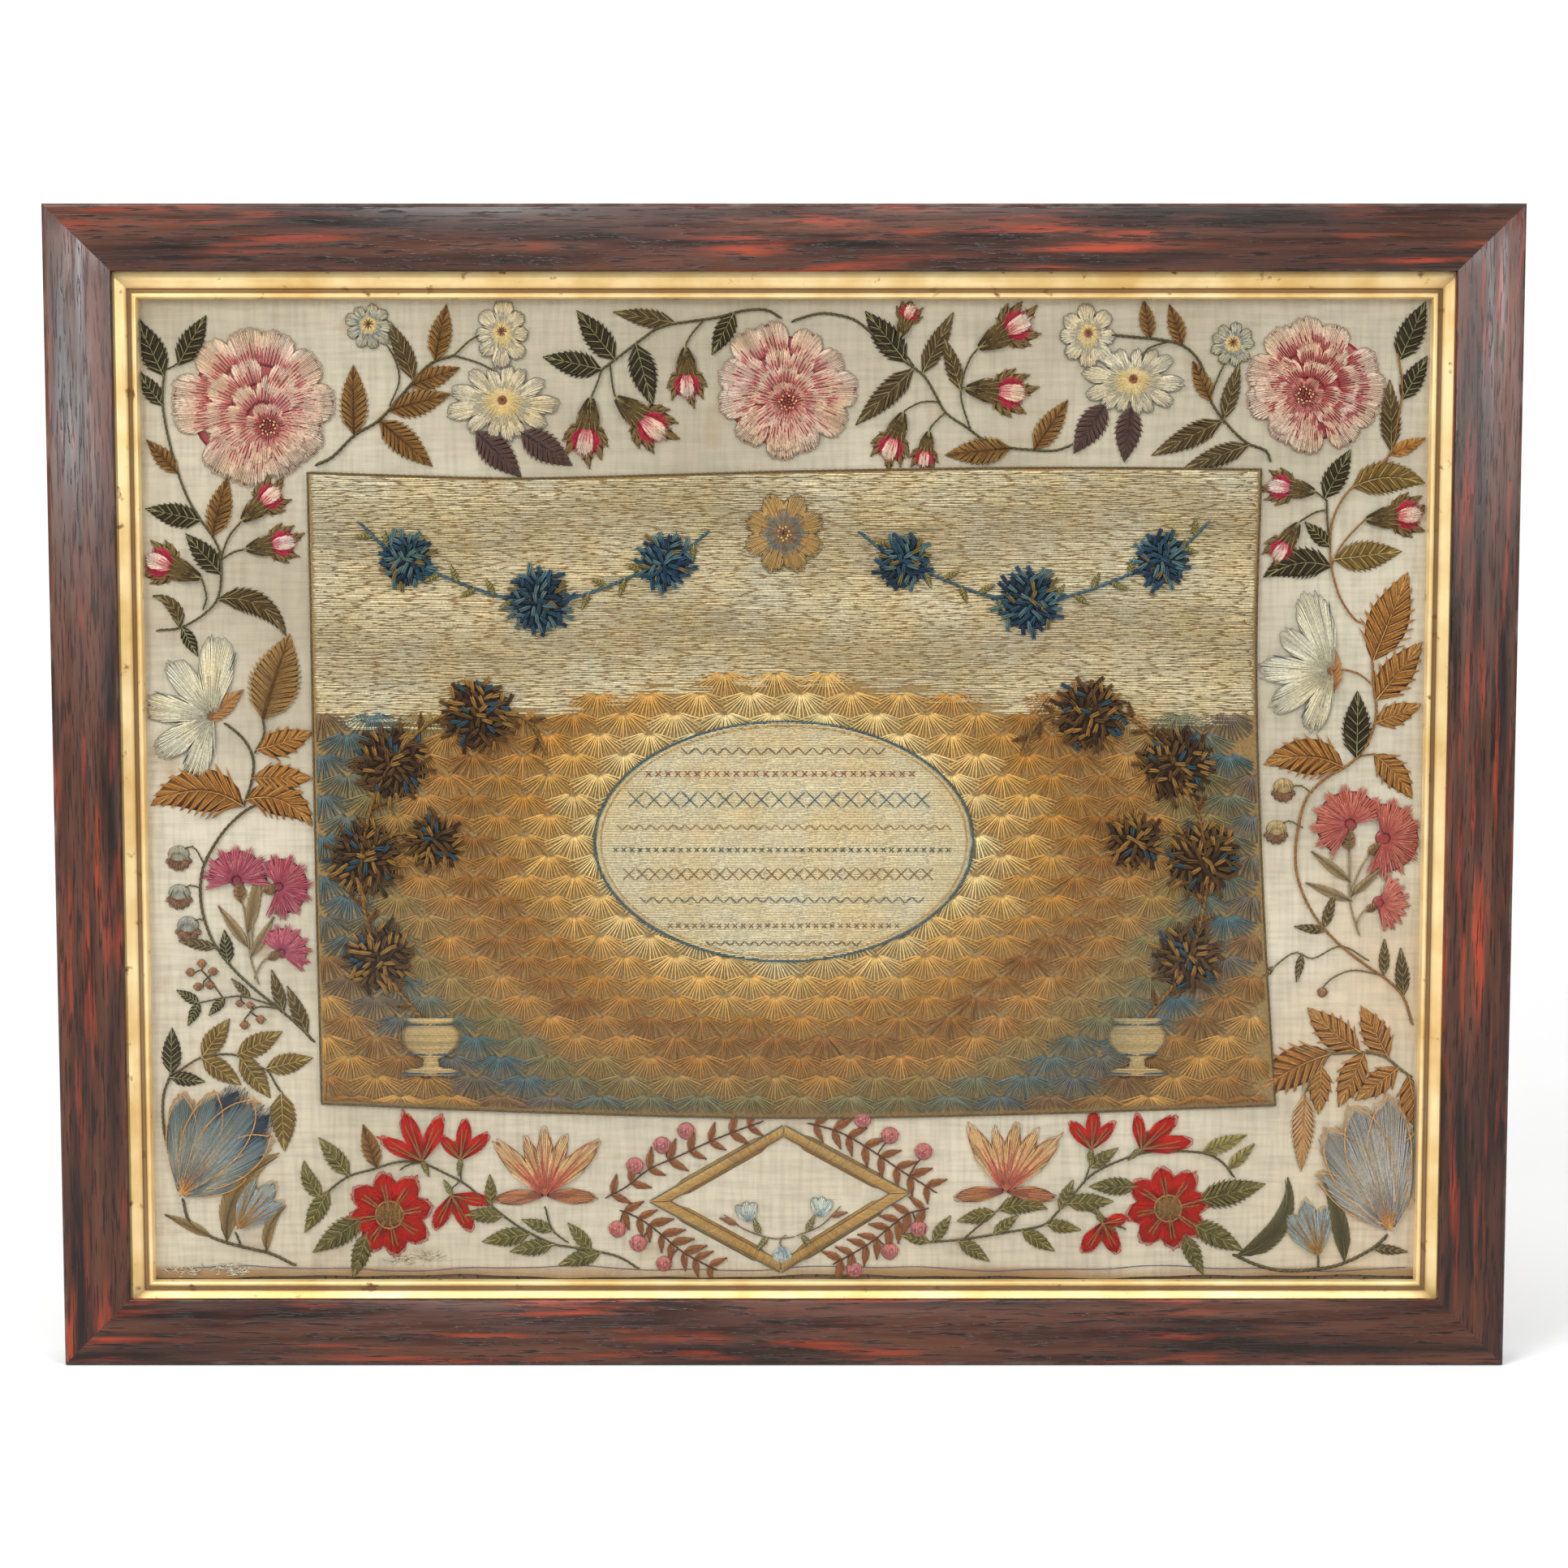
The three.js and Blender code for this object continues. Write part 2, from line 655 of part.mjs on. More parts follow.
function redFlower(name, x, z, reach, petals, leafRows) {
  const levels = [[1, 1], [0.5, 1.9], [0.36, 2.8]];
  const bloom = { x, z, radius: ovalRadius(reach, reach, petals, 0.3), levels, steps: petals * 3 };
  addPiece(name, 0xa3261f, [
    (base, grow) => mound(bloom, base, grow),
    ...leafRows.map(([lx, lz, turn, length, plump]) => oneLeaf({ x: lx, z: lz, turn, length, plump })),
  ]);
}
redFlower('red_flower_left', -492, -529, 53, 8, [
  [-524, -532, -145, 80, 0.36], [-520, -552, -108, 62, 0.38],
]);
redFlower('red_flower_right', 479, -521, 52, 8, [
  [440, -494, 180, 54, 0.3], [516, -512, 14, 88, 0.24], [508, -540, -28, 76, 0.42], [500, -556, -64, 56, 0.5],
]);

// The lozenge: four flat gold bands, mitred at its corners.
function lozenge() {
  const outer = [[-169, -513], [0, -416], [158, -502], [-4, -604]];
  const names = ['upper_left', 'upper_right', 'lower_right', 'lower_left'];
  const centre = [-3, -509];
  const bandShare = 0.835;
  const rise = 1.6;
  outer.forEach((from, n) => {
    const to = outer[(n + 1) % outer.length];
    const along = ([x0, z0], [x1, z1], t) => [x0 + (x1 - x0) * t, z0 + (z1 - z0) * t];
    const inward = (corner, share) => along(centre, corner, share);
    const cornerGap = 0.006;
    const band = (base, grow) => {
      const out = 1 + grow / 40;
      const inn = bandShare - grow / 40;
      const edge = grow > 0 ? tallEnough : rise * 0.6;
      const ridge = grow > 0 ? tallEnough : rise;
      const low = grow > 0 ? -1 : 0;
      const rings = [cornerGap, 0.5, 1 - cornerGap].map((t) => {
        const a = along(inward(from, out), inward(to, out), t);
        const m = along(inward(from, (out + inn) / 2), inward(to, (out + inn) / 2), t);
        const b = along(inward(from, inn), inward(to, inn), t);
        return [place(...a, low, base), place(...a, edge, base), place(...m, ridge, base),
          place(...b, edge, base), place(...b, low, base)];
      });
      return loft(rings, [[0, 1, 2], [0, 2, 3], [0, 3, 4]]);
    };
    addPiece(`lozenge_${names[n]}`, 0xb08a4c, [band]);
  });
}
lozenge();

// Sprays of leaves. Stems are [width in mm, then points]; leaves are [kind, x, z, turn, length, bend];
// buds are [x, z, turn, length]; berries are [x, z, radius]. Turns and bends are in degrees.
const sprays = {
  spray_left_top: {
    stems: [
      [1.5, [-755, 515], [-758, 471], [-747, 412], [-731, 363], [-714, 333], [-697, 308], [-690, 284],
        [-696, 234], [-736, 203], [-770, 198]],
      [1.3, [-690, 286], [-680, 312], [-664, 331]],
      [1.3, [-690, 284], [-674, 294], [-660, 297]],
      [1.2, [-714, 262], [-708, 238], [-713, 224]],
    ],
    leaves: [
      ['dark', -755, 508, 115, 78],
      ['dark', -757, 472, 126, 52],
      ['dark', -738, 520, 60, 70],
      ['bronze', -745, 387, 133, 56],
      ['dark', -714, 333, 168, 70],
      ['bronze', -696, 314, 75, 76],
      ['dark', -697, 266, 131, 66],
      ['slim', -694, 236, 14, 104, -84],
      ['slim', -742, 205, 82, 58, 95],
      ['dark', -738, 203, -63, 40],
    ],
    buds: [[-714, 262, 160, 76], [-664, 331, 40, 66], [-660, 297, 9, 66]],
  },
  spray_top_left: {
    stems: [
      [1.9, [-572, 400], [-552, 409], [-524, 436], [-494, 454], [-461, 490], [-431, 522], [-402, 532]],
      [1.2, [-402, 532], [-380, 552], [-362, 558]],
      [1.2, [-402, 532], [-372, 523], [-351, 512]],
      [1.1, [-481, 472], [-469, 500], [-473, 525], [-484, 545]],
    ],
    leaves: [
      ['bronze', -524, 437, 90, 86],
      ['bronze', -494, 454, -41, 86],
      ['bronze', -484, 464, 15, 80],
      ['bronze', -456, 494, 20, 66],
      ['slim', -452, 500, 107, 82, 14],
      ['bronze', -424, 528, 78, 70],
    ],
  },
  spray_top_middle_left: {
    stems: [
      [1.6, [-222, 515], [-199, 532], [-174, 551], [-149, 567], [-115, 573], [-80, 578], [-50, 586],
        [-21, 587],
        [-4, 577]],
      [1.2, [-222, 515], [-229, 495], [-235, 482]],
      [1.2, [-212, 522], [-209, 495], [-206, 482]],
      [1.2, [-97, 575], [-113, 557], [-120, 543]],
    ],
    leaves: [
      ['dark', -207, 526, 128, 76],
      ['dark', -222, 515, 168, 74],
      ['dark', -179, 546, -75, 78],
      ['slim', -130, 571, 170, 78],
      ['dark', -60, 580, -118, 58],
    ],
    buds: [[-235, 482, -98, 76], [-206, 482, -39, 82], [-120, 543, -88, 66]],
  },
  spray_top_middle_right: {
    stems: [
      [1.6, [10, 573], [24, 578], [48, 583], [78, 578], [95, 569], [123, 544], [147, 525], [170, 508],
        [184, 486],
        [197, 463], [222, 446], [247, 428], [272, 421], [302, 418], [331, 417], [352, 424]],
      [1.2, [157, 520], [144, 540], [140, 553]],
      [1.2, [227, 444], [216, 479], [218, 505], [227, 529], [236, 540]],
      [1.2, [197, 463], [182, 449], [177, 441]],
      [1.1, [190, 476], [168, 476], [148, 466]],
    ],
    leaves: [
      ['dark', 146, 520, 129, 80],
      ['slim', 155, 508, -136, 100],
      ['slim', 172, 516, 63, 84],
      ['slim', 216, 490, 108, 68],
      ['bronze', 306, 424, 56, 74],
      ['bronze', 276, 421, 186, 82],
    ],
    buds: [
      [140, 553, 68, 46], [236, 540, 30, 78], [220, 492, -5, 80], [146, 464, -110, 66], [177, 441, -100, 48],
    ],
  },
  spray_top_right: {
    stems: [
      [1.7, [398, 557], [429, 554], [459, 551], [486, 544], [506, 525], [517, 495], [521, 476], [539, 451],
        [564, 427], [589, 417], [594, 404]],
      [1.2, [436, 530], [444, 541], [469, 549]],
      [1.2, [521, 485], [530, 508], [536, 520]],
    ],
    leaves: [
      ['bronze', 447, 554, 100, 48],
      ['bronze', 486, 544, 108, 52],
      ['bronze', 517, 474, 115, 54],
      ['slim', 539, 455, 75, 72],
      ['slim', 534, 453, 206, 98],
      ['slim', 568, 425, 200, 88],
    ],
  },
  spray_right_upper: {
    stems: [
      [1.4, [748, 534], [754, 491], [749, 456], [740, 412], [714, 390], [685, 361], [671, 330],
        [669, 300], [671, 274],
        [681, 240], [697, 215], [707, 207]],
      [1.3, [664, 356], [665, 330], [669, 300]],
      [1.2, [671, 277], [681, 299], [696, 318], [711, 333]],
      [1.2, [664, 356], [657, 362], [650, 367]],
      [1.2, [665, 345], [650, 342], [630, 330]],
    ],
    leaves: [
      ['dark', 750, 528, 66, 78],
      ['dark', 751, 480, 60, 62],
      ['slim', 741, 417, 92, 88],
      ['dark', 742, 412, 25, 48],
      ['bronze', 694, 371, 28, 92, -50],
      ['bronze', 664, 362, 62, 68],
      ['bronze', 668, 301, 136, 44],
      ['bronze', 674, 283, 7, 84],
      ['bronze', 663, 274, 160, 88, 58],
    ],
    buds: [[711, 333, 6, 74], [650, 367, 172, 62], [630, 330, -122, 58]],
  },
  spray_right_middle: {
    stems: [
      [1.7, [723, 160], [725, 130], [729, 95], [719, 60], [699, 35], [668, 16], [645, -8], [635, -45],
        [632, -85],
        [639, -120], [659, -158], [688, -190], [724, -218], [744, -231], [768, -255], [780, -290]],
      [1.2, [699, 36], [712, 44], [727, 46]],
      [1.2, [725, 130], [708, 144], [694, 149]],
      [1.1, [724, -210], [690, -192], [655, -208], [632, -200], [596, -228]],
      [1.1, [744, -229], [706, -222], [680, -232], [668, -244]],
      [1, [640, -45], [622, -36], [608, -48]],
      [1, [650, -2], [636, 8], [618, 2]],
    ],
    leaves: [
      ['rust', 720, 160, 69, 118],
      ['rust', 727, 110, 52, 92],
      ['rust', 730, 82, 22, 62],
      ['dark', 704, 42, 90, 84],
      ['rust', 690, 32, 150, 104, 56],
      ['rust', 727, 46, -38, 74, -22],
      ['slim', 672, -166, 74, 46],
      ['slim', 672, -170, 172, 40],
      ['slim', 745, -229, 90, 46],
      ['slim', 772, -252, 94, 62],
      ['slim', 640, -204, -100, 36],
      ['slim', 610, -218, -140, 32],
    ],
    berries: [[608, -50, 13], [616, 2, 13], [668, -250, 7]],
  },
  spray_right_lower: {
    stems: [
      [1.8, [640, -322], [680, -326], [721, -325], [746, -330], [766, -346], [780, -356]],
      [1.2, [680, -326], [660, -352], [648, -376]],
    ],
    leaves: [
      ['rust', 716, -323, 148, 88, -16],
      ['rust', 754, -330, 118, 76],
      ['rust', 680, -326, 196, 112, 26],
      ['rust', 722, -327, -114, 76],
      ['rust', 762, -344, -142, 68],
      ['rust', 668, -340, -92, 62],
      ['rust', 776, -356, -78, 76],
      ['slim', 648, -376, -92, 100],
    ],
  },
  spray_tulip_right: {
    stems: [
      [2.1, [562, -580], [588, -592], [618, -600], [654, -600], [695, -593], [735, -573], [754, -556]],
      [1.4, [668, -598], [668, -582]],
    ],
    leaves: [
      ['blade', 566, -584, 12, 132, 92],
      ['blade', 700, -592, 92, 108, 26],
      ['slim', 738, -572, -6, 44],
    ],
    extra: petalsAt(667, -580, [[82, 62, 0.4], [104, 72, 0.4], [128, 68, 0.4]], 2.6),
  },
  spray_tulip_left: {
    stems: [
      [1.8, [-750, -510], [-743, -538], [-715, -558]],
      [2, [-715, -558], [-697, -565], [-666, -573], [-641, -579], [-611, -594]],
      [1.4, [-678, -571], [-685, -552]],
    ],
    leaves: [
      ['blade', -697, -564, 95, 142, -72],
      ['blade', -646, -577, 98, 68, -62],
      ['blade', -715, -558, 150, 66, 8],
    ],
    extra: petalsAt(-682, -546, [[30, 66, 0.34], [50, 76, 0.38], [72, 68, 0.34]], 2.6),
  },
  spray_left_lower: {
    stems: [
      [1.7, [-762, -352], [-772, -379], [-773, -415], [-768, -446]],
      [1.4, [-762, -352], [-750, -347], [-723, -331], [-682, -328], [-658, -343], [-643, -346], [-633, -364],
        [-625, -376]],
    ],
    leaves: [
      ['broad', -761, -352, 88, 58],
      ['dark', -760, -355, -8, 44],
      ['broad', -722, -330, 54, 60],
      ['dark', -722, -333, -36, 60],
      ['dark', -681, -328, 28, 64],
      ['dark', -677, -332, -55, 64],
      ['dark', -642, -346, 13, 60],
      ['dark', -624, -374, -88, 74],
    ],
  },
  spray_left_sprigs: {
    stems: [
      [1.8, [-627, -3], [-648, -15], [-666, -25], [-688, -45], [-706, -70], [-719, -97], [-722, -131],
        [-717, -161],
        [-706, -189], [-686, -217], [-661, -242], [-631, -267], [-601, -293], [-584, -312]],
      [1.1, [-631, -267], [-671, -255], [-696, -257], [-726, -263]],
      [1.1, [-696, -257], [-712, -234], [-722, -222]],
      [1.1, [-628, -270], [-654, -268], [-670, -284]],
      [1, [-717, -90], [-730, -68], [-748, -76]],
      [1, [-721, -120], [-735, -116], [-746, -124]],
      [1, [-717, -160], [-726, -158], [-734, -164]],
    ],
    leaves: [
      ['slim', -703, -194, 170, 48],
      ['dark', -690, -212, 96, 42],
      ['slim', -726, -263, 150, 28],
      ['dark', -726, -263, -116, 28],
      ['slim', -660, -254, 134, 34],
      ['slim', -620, -276, 105, 56],
      ['slim', -592, -301, 112, 66],
    ],
    berries: [[-748, -82, 14], [-748, -130, 14], [-738, -170, 14], [-722, -220, 7], [-672, -288, 6]],
  },
  spray_left_middle: {
    stems: [
      [1.7, [-688, 84], [-666, 65], [-654, 40], [-657, 10], [-667, -18]],
      [1.4, [-642, 92], [-640, 70], [-652, 48]],
    ],
    leaves: [
      ['broad', -642, 90, 72, 112],
      ['broad', -652, 52, 12, 74, 12],
      ['rust', -652, 14, 0, 74],
      ['rust', -670, -16, 142, 124, 76],
      ['bronze', -655, -14, 20, 96, -84],
    ],
  },
  spray_bottom_left: {
    stems: [
      [1.5, [-568, -499], [-543, -481], [-512, -472], [-482, -463], [-452, -464], [-421, -478], [-396, -492],
        [-371, -514], [-331, -545], [-290, -566], [-270, -570], [-229, -577], [-204, -584], [-182, -598]],
      [1.2, [-478, -472], [-468, -466], [-456, -464]],
      [1.2, [-298, -520], [-290, -548], [-270, -565]],
      [1.1, [-403, -470], [-403, -486]],
      [1.1, [-416, -498], [-404, -487]],
    ],
    leaves: [
      ['slim', -576, -508, 140, 54, -50],
      ['slim', -568, -499, -120, 62],
      ['slim', -541, -480, 128, 62],
      ['bronze', -508, -470, 107, 58],
      ['slim', -366, -516, 92, 40],
      ['slim', -350, -532, 178, 52],
      ['slim', -318, -552, 190, 62],
      ['slim', -286, -567, 190, 56],
      ['slim', -288, -551, 160, 42],
      ['dark', -240, -574, 130, 46],
      ['dark', -230, -577, 197, 56],
    ],
    extra: [
      ...petalsAt(-451, -461, [[66, 62, 0.34], [111, 66, 0.34], [152, 60, 0.32]], 2.2),
      ...petalsAt(-403, -459, [[42, 48, 0.36], [82, 52, 0.36], [131, 38, 0.4]], 2.2),
      ...petalsAt(-414, -505, [[-118, 50, 0.38], [-62, 52, 0.4], [-10, 50, 0.34]], 2.2),
    ],
  },
  spray_bottom_right: {
    stems: [
      [1.5, [182, -564], [222, -561], [278, -552], [324, -543], [339, -529], [359, -507], [384, -479],
        [424, -459],
        [459, -450], [520, -451], [546, -463], [561, -482]],
      [1.2, [276, -515], [263, -528], [242, -545], [224, -561]],
      [1.1, [384, -450], [382, -466], [374, -490]],
      [1.1, [420, -546], [396, -532], [372, -520], [352, -516]],
      [1.1, [426, -548], [410, -538], [396, -532]],
      [1.2, [390, -512], [370, -510], [352, -516]],
    ],
    leaves: [
      ['slim', 262, -526, 193, 50],
      ['slim', 266, -524, 25, 64, -48],
      ['dark', 184, -562, 56, 40],
      ['dark', 182, -564, 166, 38],
      ['dark', 218, -561, -35, 48],
      ['dark', 298, -549, -33, 50],
      ['slim', 262, -556, 38, 40],
      ['dark', 328, -542, -10, 44],
      ['slim', 344, -524, 66, 42],
      ['dark', 352, -514, 2, 60],
      ['slim', 384, -470, 35, 44],
      ['bronze', 520, -451, 22, 60],
      ['bronze', 556, -472, 45, 46],
    ],
    extra: [
      ...petalsAt(383, -446, [[50, 44, 0.36], [86, 50, 0.36], [128, 44, 0.4]], 2.2),
      ...petalsAt(445, -446, [[8, 66, 0.34], [43, 60, 0.36], [97, 44, 0.36]], 2.2),
      ...petalsAt(398, -540, [[-122, 46, 0.46], [-64, 44, 0.46], [12, 32, 0.5]], 2.2),
    ],
  },
};

const sprayColour = {
  spray_right_middle: 0x8f6536,
  spray_right_lower: 0xa87c44,
  spray_left_middle: 0x8f6030,
  spray_bottom_left: 0x75703f,
  spray_bottom_right: 0x75703f,
};

for (const [name, rows] of Object.entries(sprays)) {
  spray(name, sprayColour[name] ?? 0x5a5034, rows);
}

// The wreath round the lozenge: four lengths of stem with small leaves in pairs and pink berries.
const wreathRoutes = {
  upper_left: [[-222, -508], [-196, -494], [-168, -472], [-132, -456], [-94, -438], [-60, -424], [-26, -412]],
  upper_right: [[30, -414], [66, -424], [96, -440], [126, -460], [152, -478], [172, -490], [190, -502]],
  lower_left: [[-204, -524], [-178, -536], [-152, -556], [-128, -576], [-104, -590], [-84, -600]],
  lower_right: [[180, -522], [156, -528], [134, -544], [110, -564], [84, -580], [62, -592]],
};
const wreathBerries = {
  upper_left: [[-122, -424, 12], [-152, -442, 12], [-186, -468, 12]],
  upper_right: [[98, -410, 12], [132, -430, 12], [174, -450, 12]],
  lower_left: [[-208, -548, 12], [-182, -566, 12], [-150, -592, 11]],
  lower_right: [[168, -548, 12], [132, -576, 12], [88, -600, 11]],
};

function wreath(side) {
  const route = wreathRoutes[side];
  const curve = routeCurve(route);
  const pairs = 3;
  const leaves = [];
  for (let n = 0; n < pairs; n += 1) {
    const t = (n + 0.5) / pairs;
    const p = curve.getPointAt(t);
    const along = curve.getTangentAt(t);
    const heading = THREE.MathUtils.radToDeg(Math.atan2(along.z, along.x));
    leaves.push(['slim', p.x, p.z, heading + 48, 32], ['slim', p.x, p.z, heading - 48, 24]);
  }
  const stalks = wreathBerries[side].map(([x, z]) => {
    const from = nearestOn([[1, ...route]], x, z);
    return [1, [from.x, from.z], [x, z]];
  });
  spray(`wreath_${side}`, 0x9a6238, {
    stems: [[1.2, ...route], ...stalks],
    leaves,
    berries: wreathBerries[side],
  });
}
Object.keys(wreathRoutes).forEach(wreath);

// The centre panel's raised work: an oval, two leafy scrolls, two urns and a garland.
const oval = { x: 0, z: -62, across: 236, up: 150 };
addPiece('cartouche', 0xd6c59c, [
  (base, grow) => mound({
    x: oval.x,
    z: oval.z,
    radius: ovalRadius(oval.across, oval.up),
    levels: [[1, 1.9], [0.93, 1.9], [0.91, 1.1]],
    steps: 26,
  }, base, grow),
], panelTop);

// A clump of looped leaves: a lobed dome.
function clump(x, z, size) {
  const radius = ovalRadius(size, size, 5, 0.24);
  return (base, grow) => mound({ x, z, radius, levels: [[0.6, 3.6]], steps: 10 }, base, grow);
}

const scrollRoute = [
  [446, -286], [500, -210], [522, -96], [490, 24], [414, 96], [322, 92], [292, 46],
];
const scrollClumps = [
  [500, -206, 50], [516, -84, 54], [482, 34, 54], [376, 94, 52], [432, -62, 40],
];
const scrollTwigs = [[1.6, [520, -80], [484, -54], [436, -52]]];
const garlandRoute = [[92, 318], [146, 282], [300, 232], [462, 284], [520, 330]];
const garlandClumps = [[146, 282, 38], [300, 234, 46], [462, 284, 38]];
const sides = [['left', -1], ['right', 1]];
for (const [side, sign] of sides) {
  const flipStem = ([width, ...route]) => oneStem([width, ...route.map(([x, z]) => [sign * x, z])]);
  const flipClump = ([x, z, size]) => clump(sign * x, z, size);
  const urnX = sign * 438;
  addPiece(`urn_${side}`, 0x8b7350, [
    (base, grow) => stem([5, [urnX - 36, -350], [urnX + 36, -350]], base, grow, 2.4),
    (base, grow) => stem([9, [urnX, -354], [urnX, -312]], base, grow, 2.6),
    (base, grow) => mound({
      x: urnX, z: -306, radius: ovalRadius(40, 24), levels: [[0.7, 3.4]], steps: 10,
    }, base, grow),
  ], panelTop);
  addPiece(`scroll_${side}`, 0x6d5432, [
    flipStem([3.4, ...scrollRoute]),
    ...scrollTwigs.map(flipStem),
    ...scrollClumps.map(flipClump),
  ], panelTop);
  addPiece(`garland_${side}`, 0x51616a, [
    flipStem([2.4, ...garlandRoute]),
    ...garlandClumps.map(flipClump),
  ], panelTop);
}
const rosette = { x: 0, z: 316, radius: ovalRadius(52, 52, 8, 0.2), levels: [[1, 1], [0.5, 3.4]] };
addPiece('rosette', 0xb08a4c, [(base, grow) => mound({ ...rosette, steps: 24 }, base, grow)], panelTop);

export default root;
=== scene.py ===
# Framed stumpwork sampler: silk flowers on linen, behind glass in a dark wood frame.
import math

import bmesh
import bpy
import numpy as np
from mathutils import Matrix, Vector


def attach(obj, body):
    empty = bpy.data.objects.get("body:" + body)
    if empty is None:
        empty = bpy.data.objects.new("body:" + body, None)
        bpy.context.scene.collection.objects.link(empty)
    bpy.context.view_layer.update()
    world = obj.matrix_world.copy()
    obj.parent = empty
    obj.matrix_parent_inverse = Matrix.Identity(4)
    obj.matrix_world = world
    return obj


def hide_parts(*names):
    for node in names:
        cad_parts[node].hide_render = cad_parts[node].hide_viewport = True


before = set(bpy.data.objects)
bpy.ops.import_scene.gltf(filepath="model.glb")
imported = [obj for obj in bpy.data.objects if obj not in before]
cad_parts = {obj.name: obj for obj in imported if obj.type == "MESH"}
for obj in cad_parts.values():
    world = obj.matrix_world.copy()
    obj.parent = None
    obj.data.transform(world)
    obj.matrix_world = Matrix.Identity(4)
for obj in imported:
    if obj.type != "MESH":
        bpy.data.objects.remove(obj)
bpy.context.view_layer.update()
rng = np.random.default_rng(7)

thread = 0.00044        # one thread of the linen, in metres
perMm = 1 / 0.44        # threads in a millimetre
middle = -0.29335       # height of the frame's middle
clothY = -0.0090        # plane that the border is stitched on
panelY = -0.0107        # plane that the centre's raised work is stitched on
sight = {"left": -783.0, "right": 784.0, "low": -609.0, "high": 597.0}      # cloth that shows, in threads


def linear(red, green, blue):
    # screen values to light values
    share = np.array([red, green, blue], float) / 255
    return np.where(share <= 0.04045, share / 12.92, ((share + 0.055) / 1.055) ** 2.4)


def varied(tint, count, amount=0.1):
    # one shade for each stitch: the tint made a little lighter or darker
    return tint * (1 + amount * rng.standard_normal((count, 1))).clip(0.4, 1.8)


def rays(angle):
    # the unit vector at each angle
    return np.stack([np.cos(angle), np.sin(angle)], -1)


def leftOf(run):
    # each vector turned a quarter turn to its left
    return np.stack([-run[..., 1], run[..., 0]], -1)


def mixed(first, second, share):
    share = np.asarray(share, float)[..., None]
    return first * (1 - share) + second * share


# Camera

view = {"place": (0.0, -1.12806, -0.22291), "down": 3.4, "lens": 47.4}


def addCamera():
    data = bpy.data.cameras.new("camera")
    data.lens = view["lens"]
    data.sensor_width = 36
    camera = bpy.data.objects.new("camera", data)
    camera.location = view["place"]
    camera.rotation_euler = (math.radians(90 - view["down"]), 0, 0)
    bpy.context.scene.collection.objects.link(camera)
    bpy.context.scene.camera = camera


addCamera()


# Materials

def newMaterial(name, roughness, metallic=0.0, specular=0.4, sheen=0.0):
    material = bpy.data.materials.new(name)
    material.use_nodes = True
    tree = material.node_tree
    surface = tree.nodes["Principled BSDF"]
    surface.inputs["Roughness"].default_value = roughness
    surface.inputs["Metallic"].default_value = metallic
    surface.inputs["Specular IOR Level"].default_value = specular
    surface.inputs["Sheen Weight"].default_value = sheen
    return material, tree, surface


def link(tree, output, socket):
    tree.links.new(output, socket)


def coordinates(tree, stretch=(1, 1, 1)):
    where = tree.nodes.new("ShaderNodeTexCoord")
    turn = tree.nodes.new("ShaderNodeMapping")
    turn.inputs["Scale"].default_value = stretch
    link(tree, where.outputs["Object"], turn.inputs["Vector"])
    return turn.outputs["Vector"]


def noise(tree, scale, detail=3.0, stretch=(1, 1, 1), low=0.35, high=0.65):
    # cloudy noise, spread so that low and high become black and white
    texture = tree.nodes.new("ShaderNodeTexNoise")
    texture.inputs["Scale"].default_value = scale
    texture.inputs["Detail"].default_value = detail
    link(tree, coordinates(tree, stretch), texture.inputs["Vector"])
    spread = tree.nodes.new("ShaderNodeMapRange")
    spread.inputs["From Min"].default_value = low
    spread.inputs["From Max"].default_value = high
    link(tree, texture.outputs["Fac"], spread.inputs["Value"])
    return spread.outputs["Result"]


def stripes(tree, axis, scale, distortion):
    # soft bands across one axis
    texture = tree.nodes.new("ShaderNodeTexWave")
    texture.bands_direction = axis
    texture.inputs["Scale"].default_value = scale
    texture.inputs["Distortion"].default_value = distortion
    texture.inputs["Detail"].default_value = 1.0
    link(tree, coordinates(tree), texture.inputs["Vector"])
    return texture.outputs["Fac"]


def band(tree, axis, start, end):
    # 0 before start and 1 after end along an axis of the piece, in metres
    split = tree.nodes.new("ShaderNodeSeparateXYZ")
    link(tree, coordinates(tree), split.inputs["Vector"])
    spread = tree.nodes.new("ShaderNodeMapRange")
    spread.interpolation_type = "SMOOTHSTEP"
    spread.inputs["From Min"].default_value = start
    spread.inputs["From Max"].default_value = end
    link(tree, split.outputs[axis], spread.inputs["Value"])
    return spread.outputs["Result"]


def feed(tree, socket, value):
    # a socket takes a number, three light values or another node's output
    if isinstance(value, (int, float)):
        socket.default_value = value
    elif isinstance(value, np.ndarray):
        socket.default_value = (*value, 1)
    else:
        tree.links.new(value, socket)


def calc(tree, kind, first, second):
    # two values joined by one sum, held between 0 and 1
    node = tree.nodes.new("ShaderNodeMath")
    node.operation = kind
    node.use_clamp = True
    feed(tree, node.inputs[0], first)
    feed(tree, node.inputs[1], second)
    return node.outputs["Value"]


def blended(tree, share, first, second, kind="MIX"):
    node = tree.nodes.new("ShaderNodeMix")
    node.data_type = "RGBA"
    node.blend_type = kind
    for socket, value in ((0, share), (6, first), (7, second)):    # its factor and its two colours
        feed(tree, node.inputs[socket], value)
    return node.outputs[2]


def bumped(tree, surface, height, distance, strength=1.0):
    node = tree.nodes.new("ShaderNodeBump")
    node.inputs["Strength"].default_value = strength
    node.inputs["Distance"].default_value = distance
    link(tree, height, node.inputs["Height"])
    link(tree, node.outputs["Normal"], surface.inputs["Normal"])


def painted(tree, name):
    # a value that the mesh carries at its points
    node = tree.nodes.new("ShaderNodeAttribute")
    node.attribute_name = name
    return node


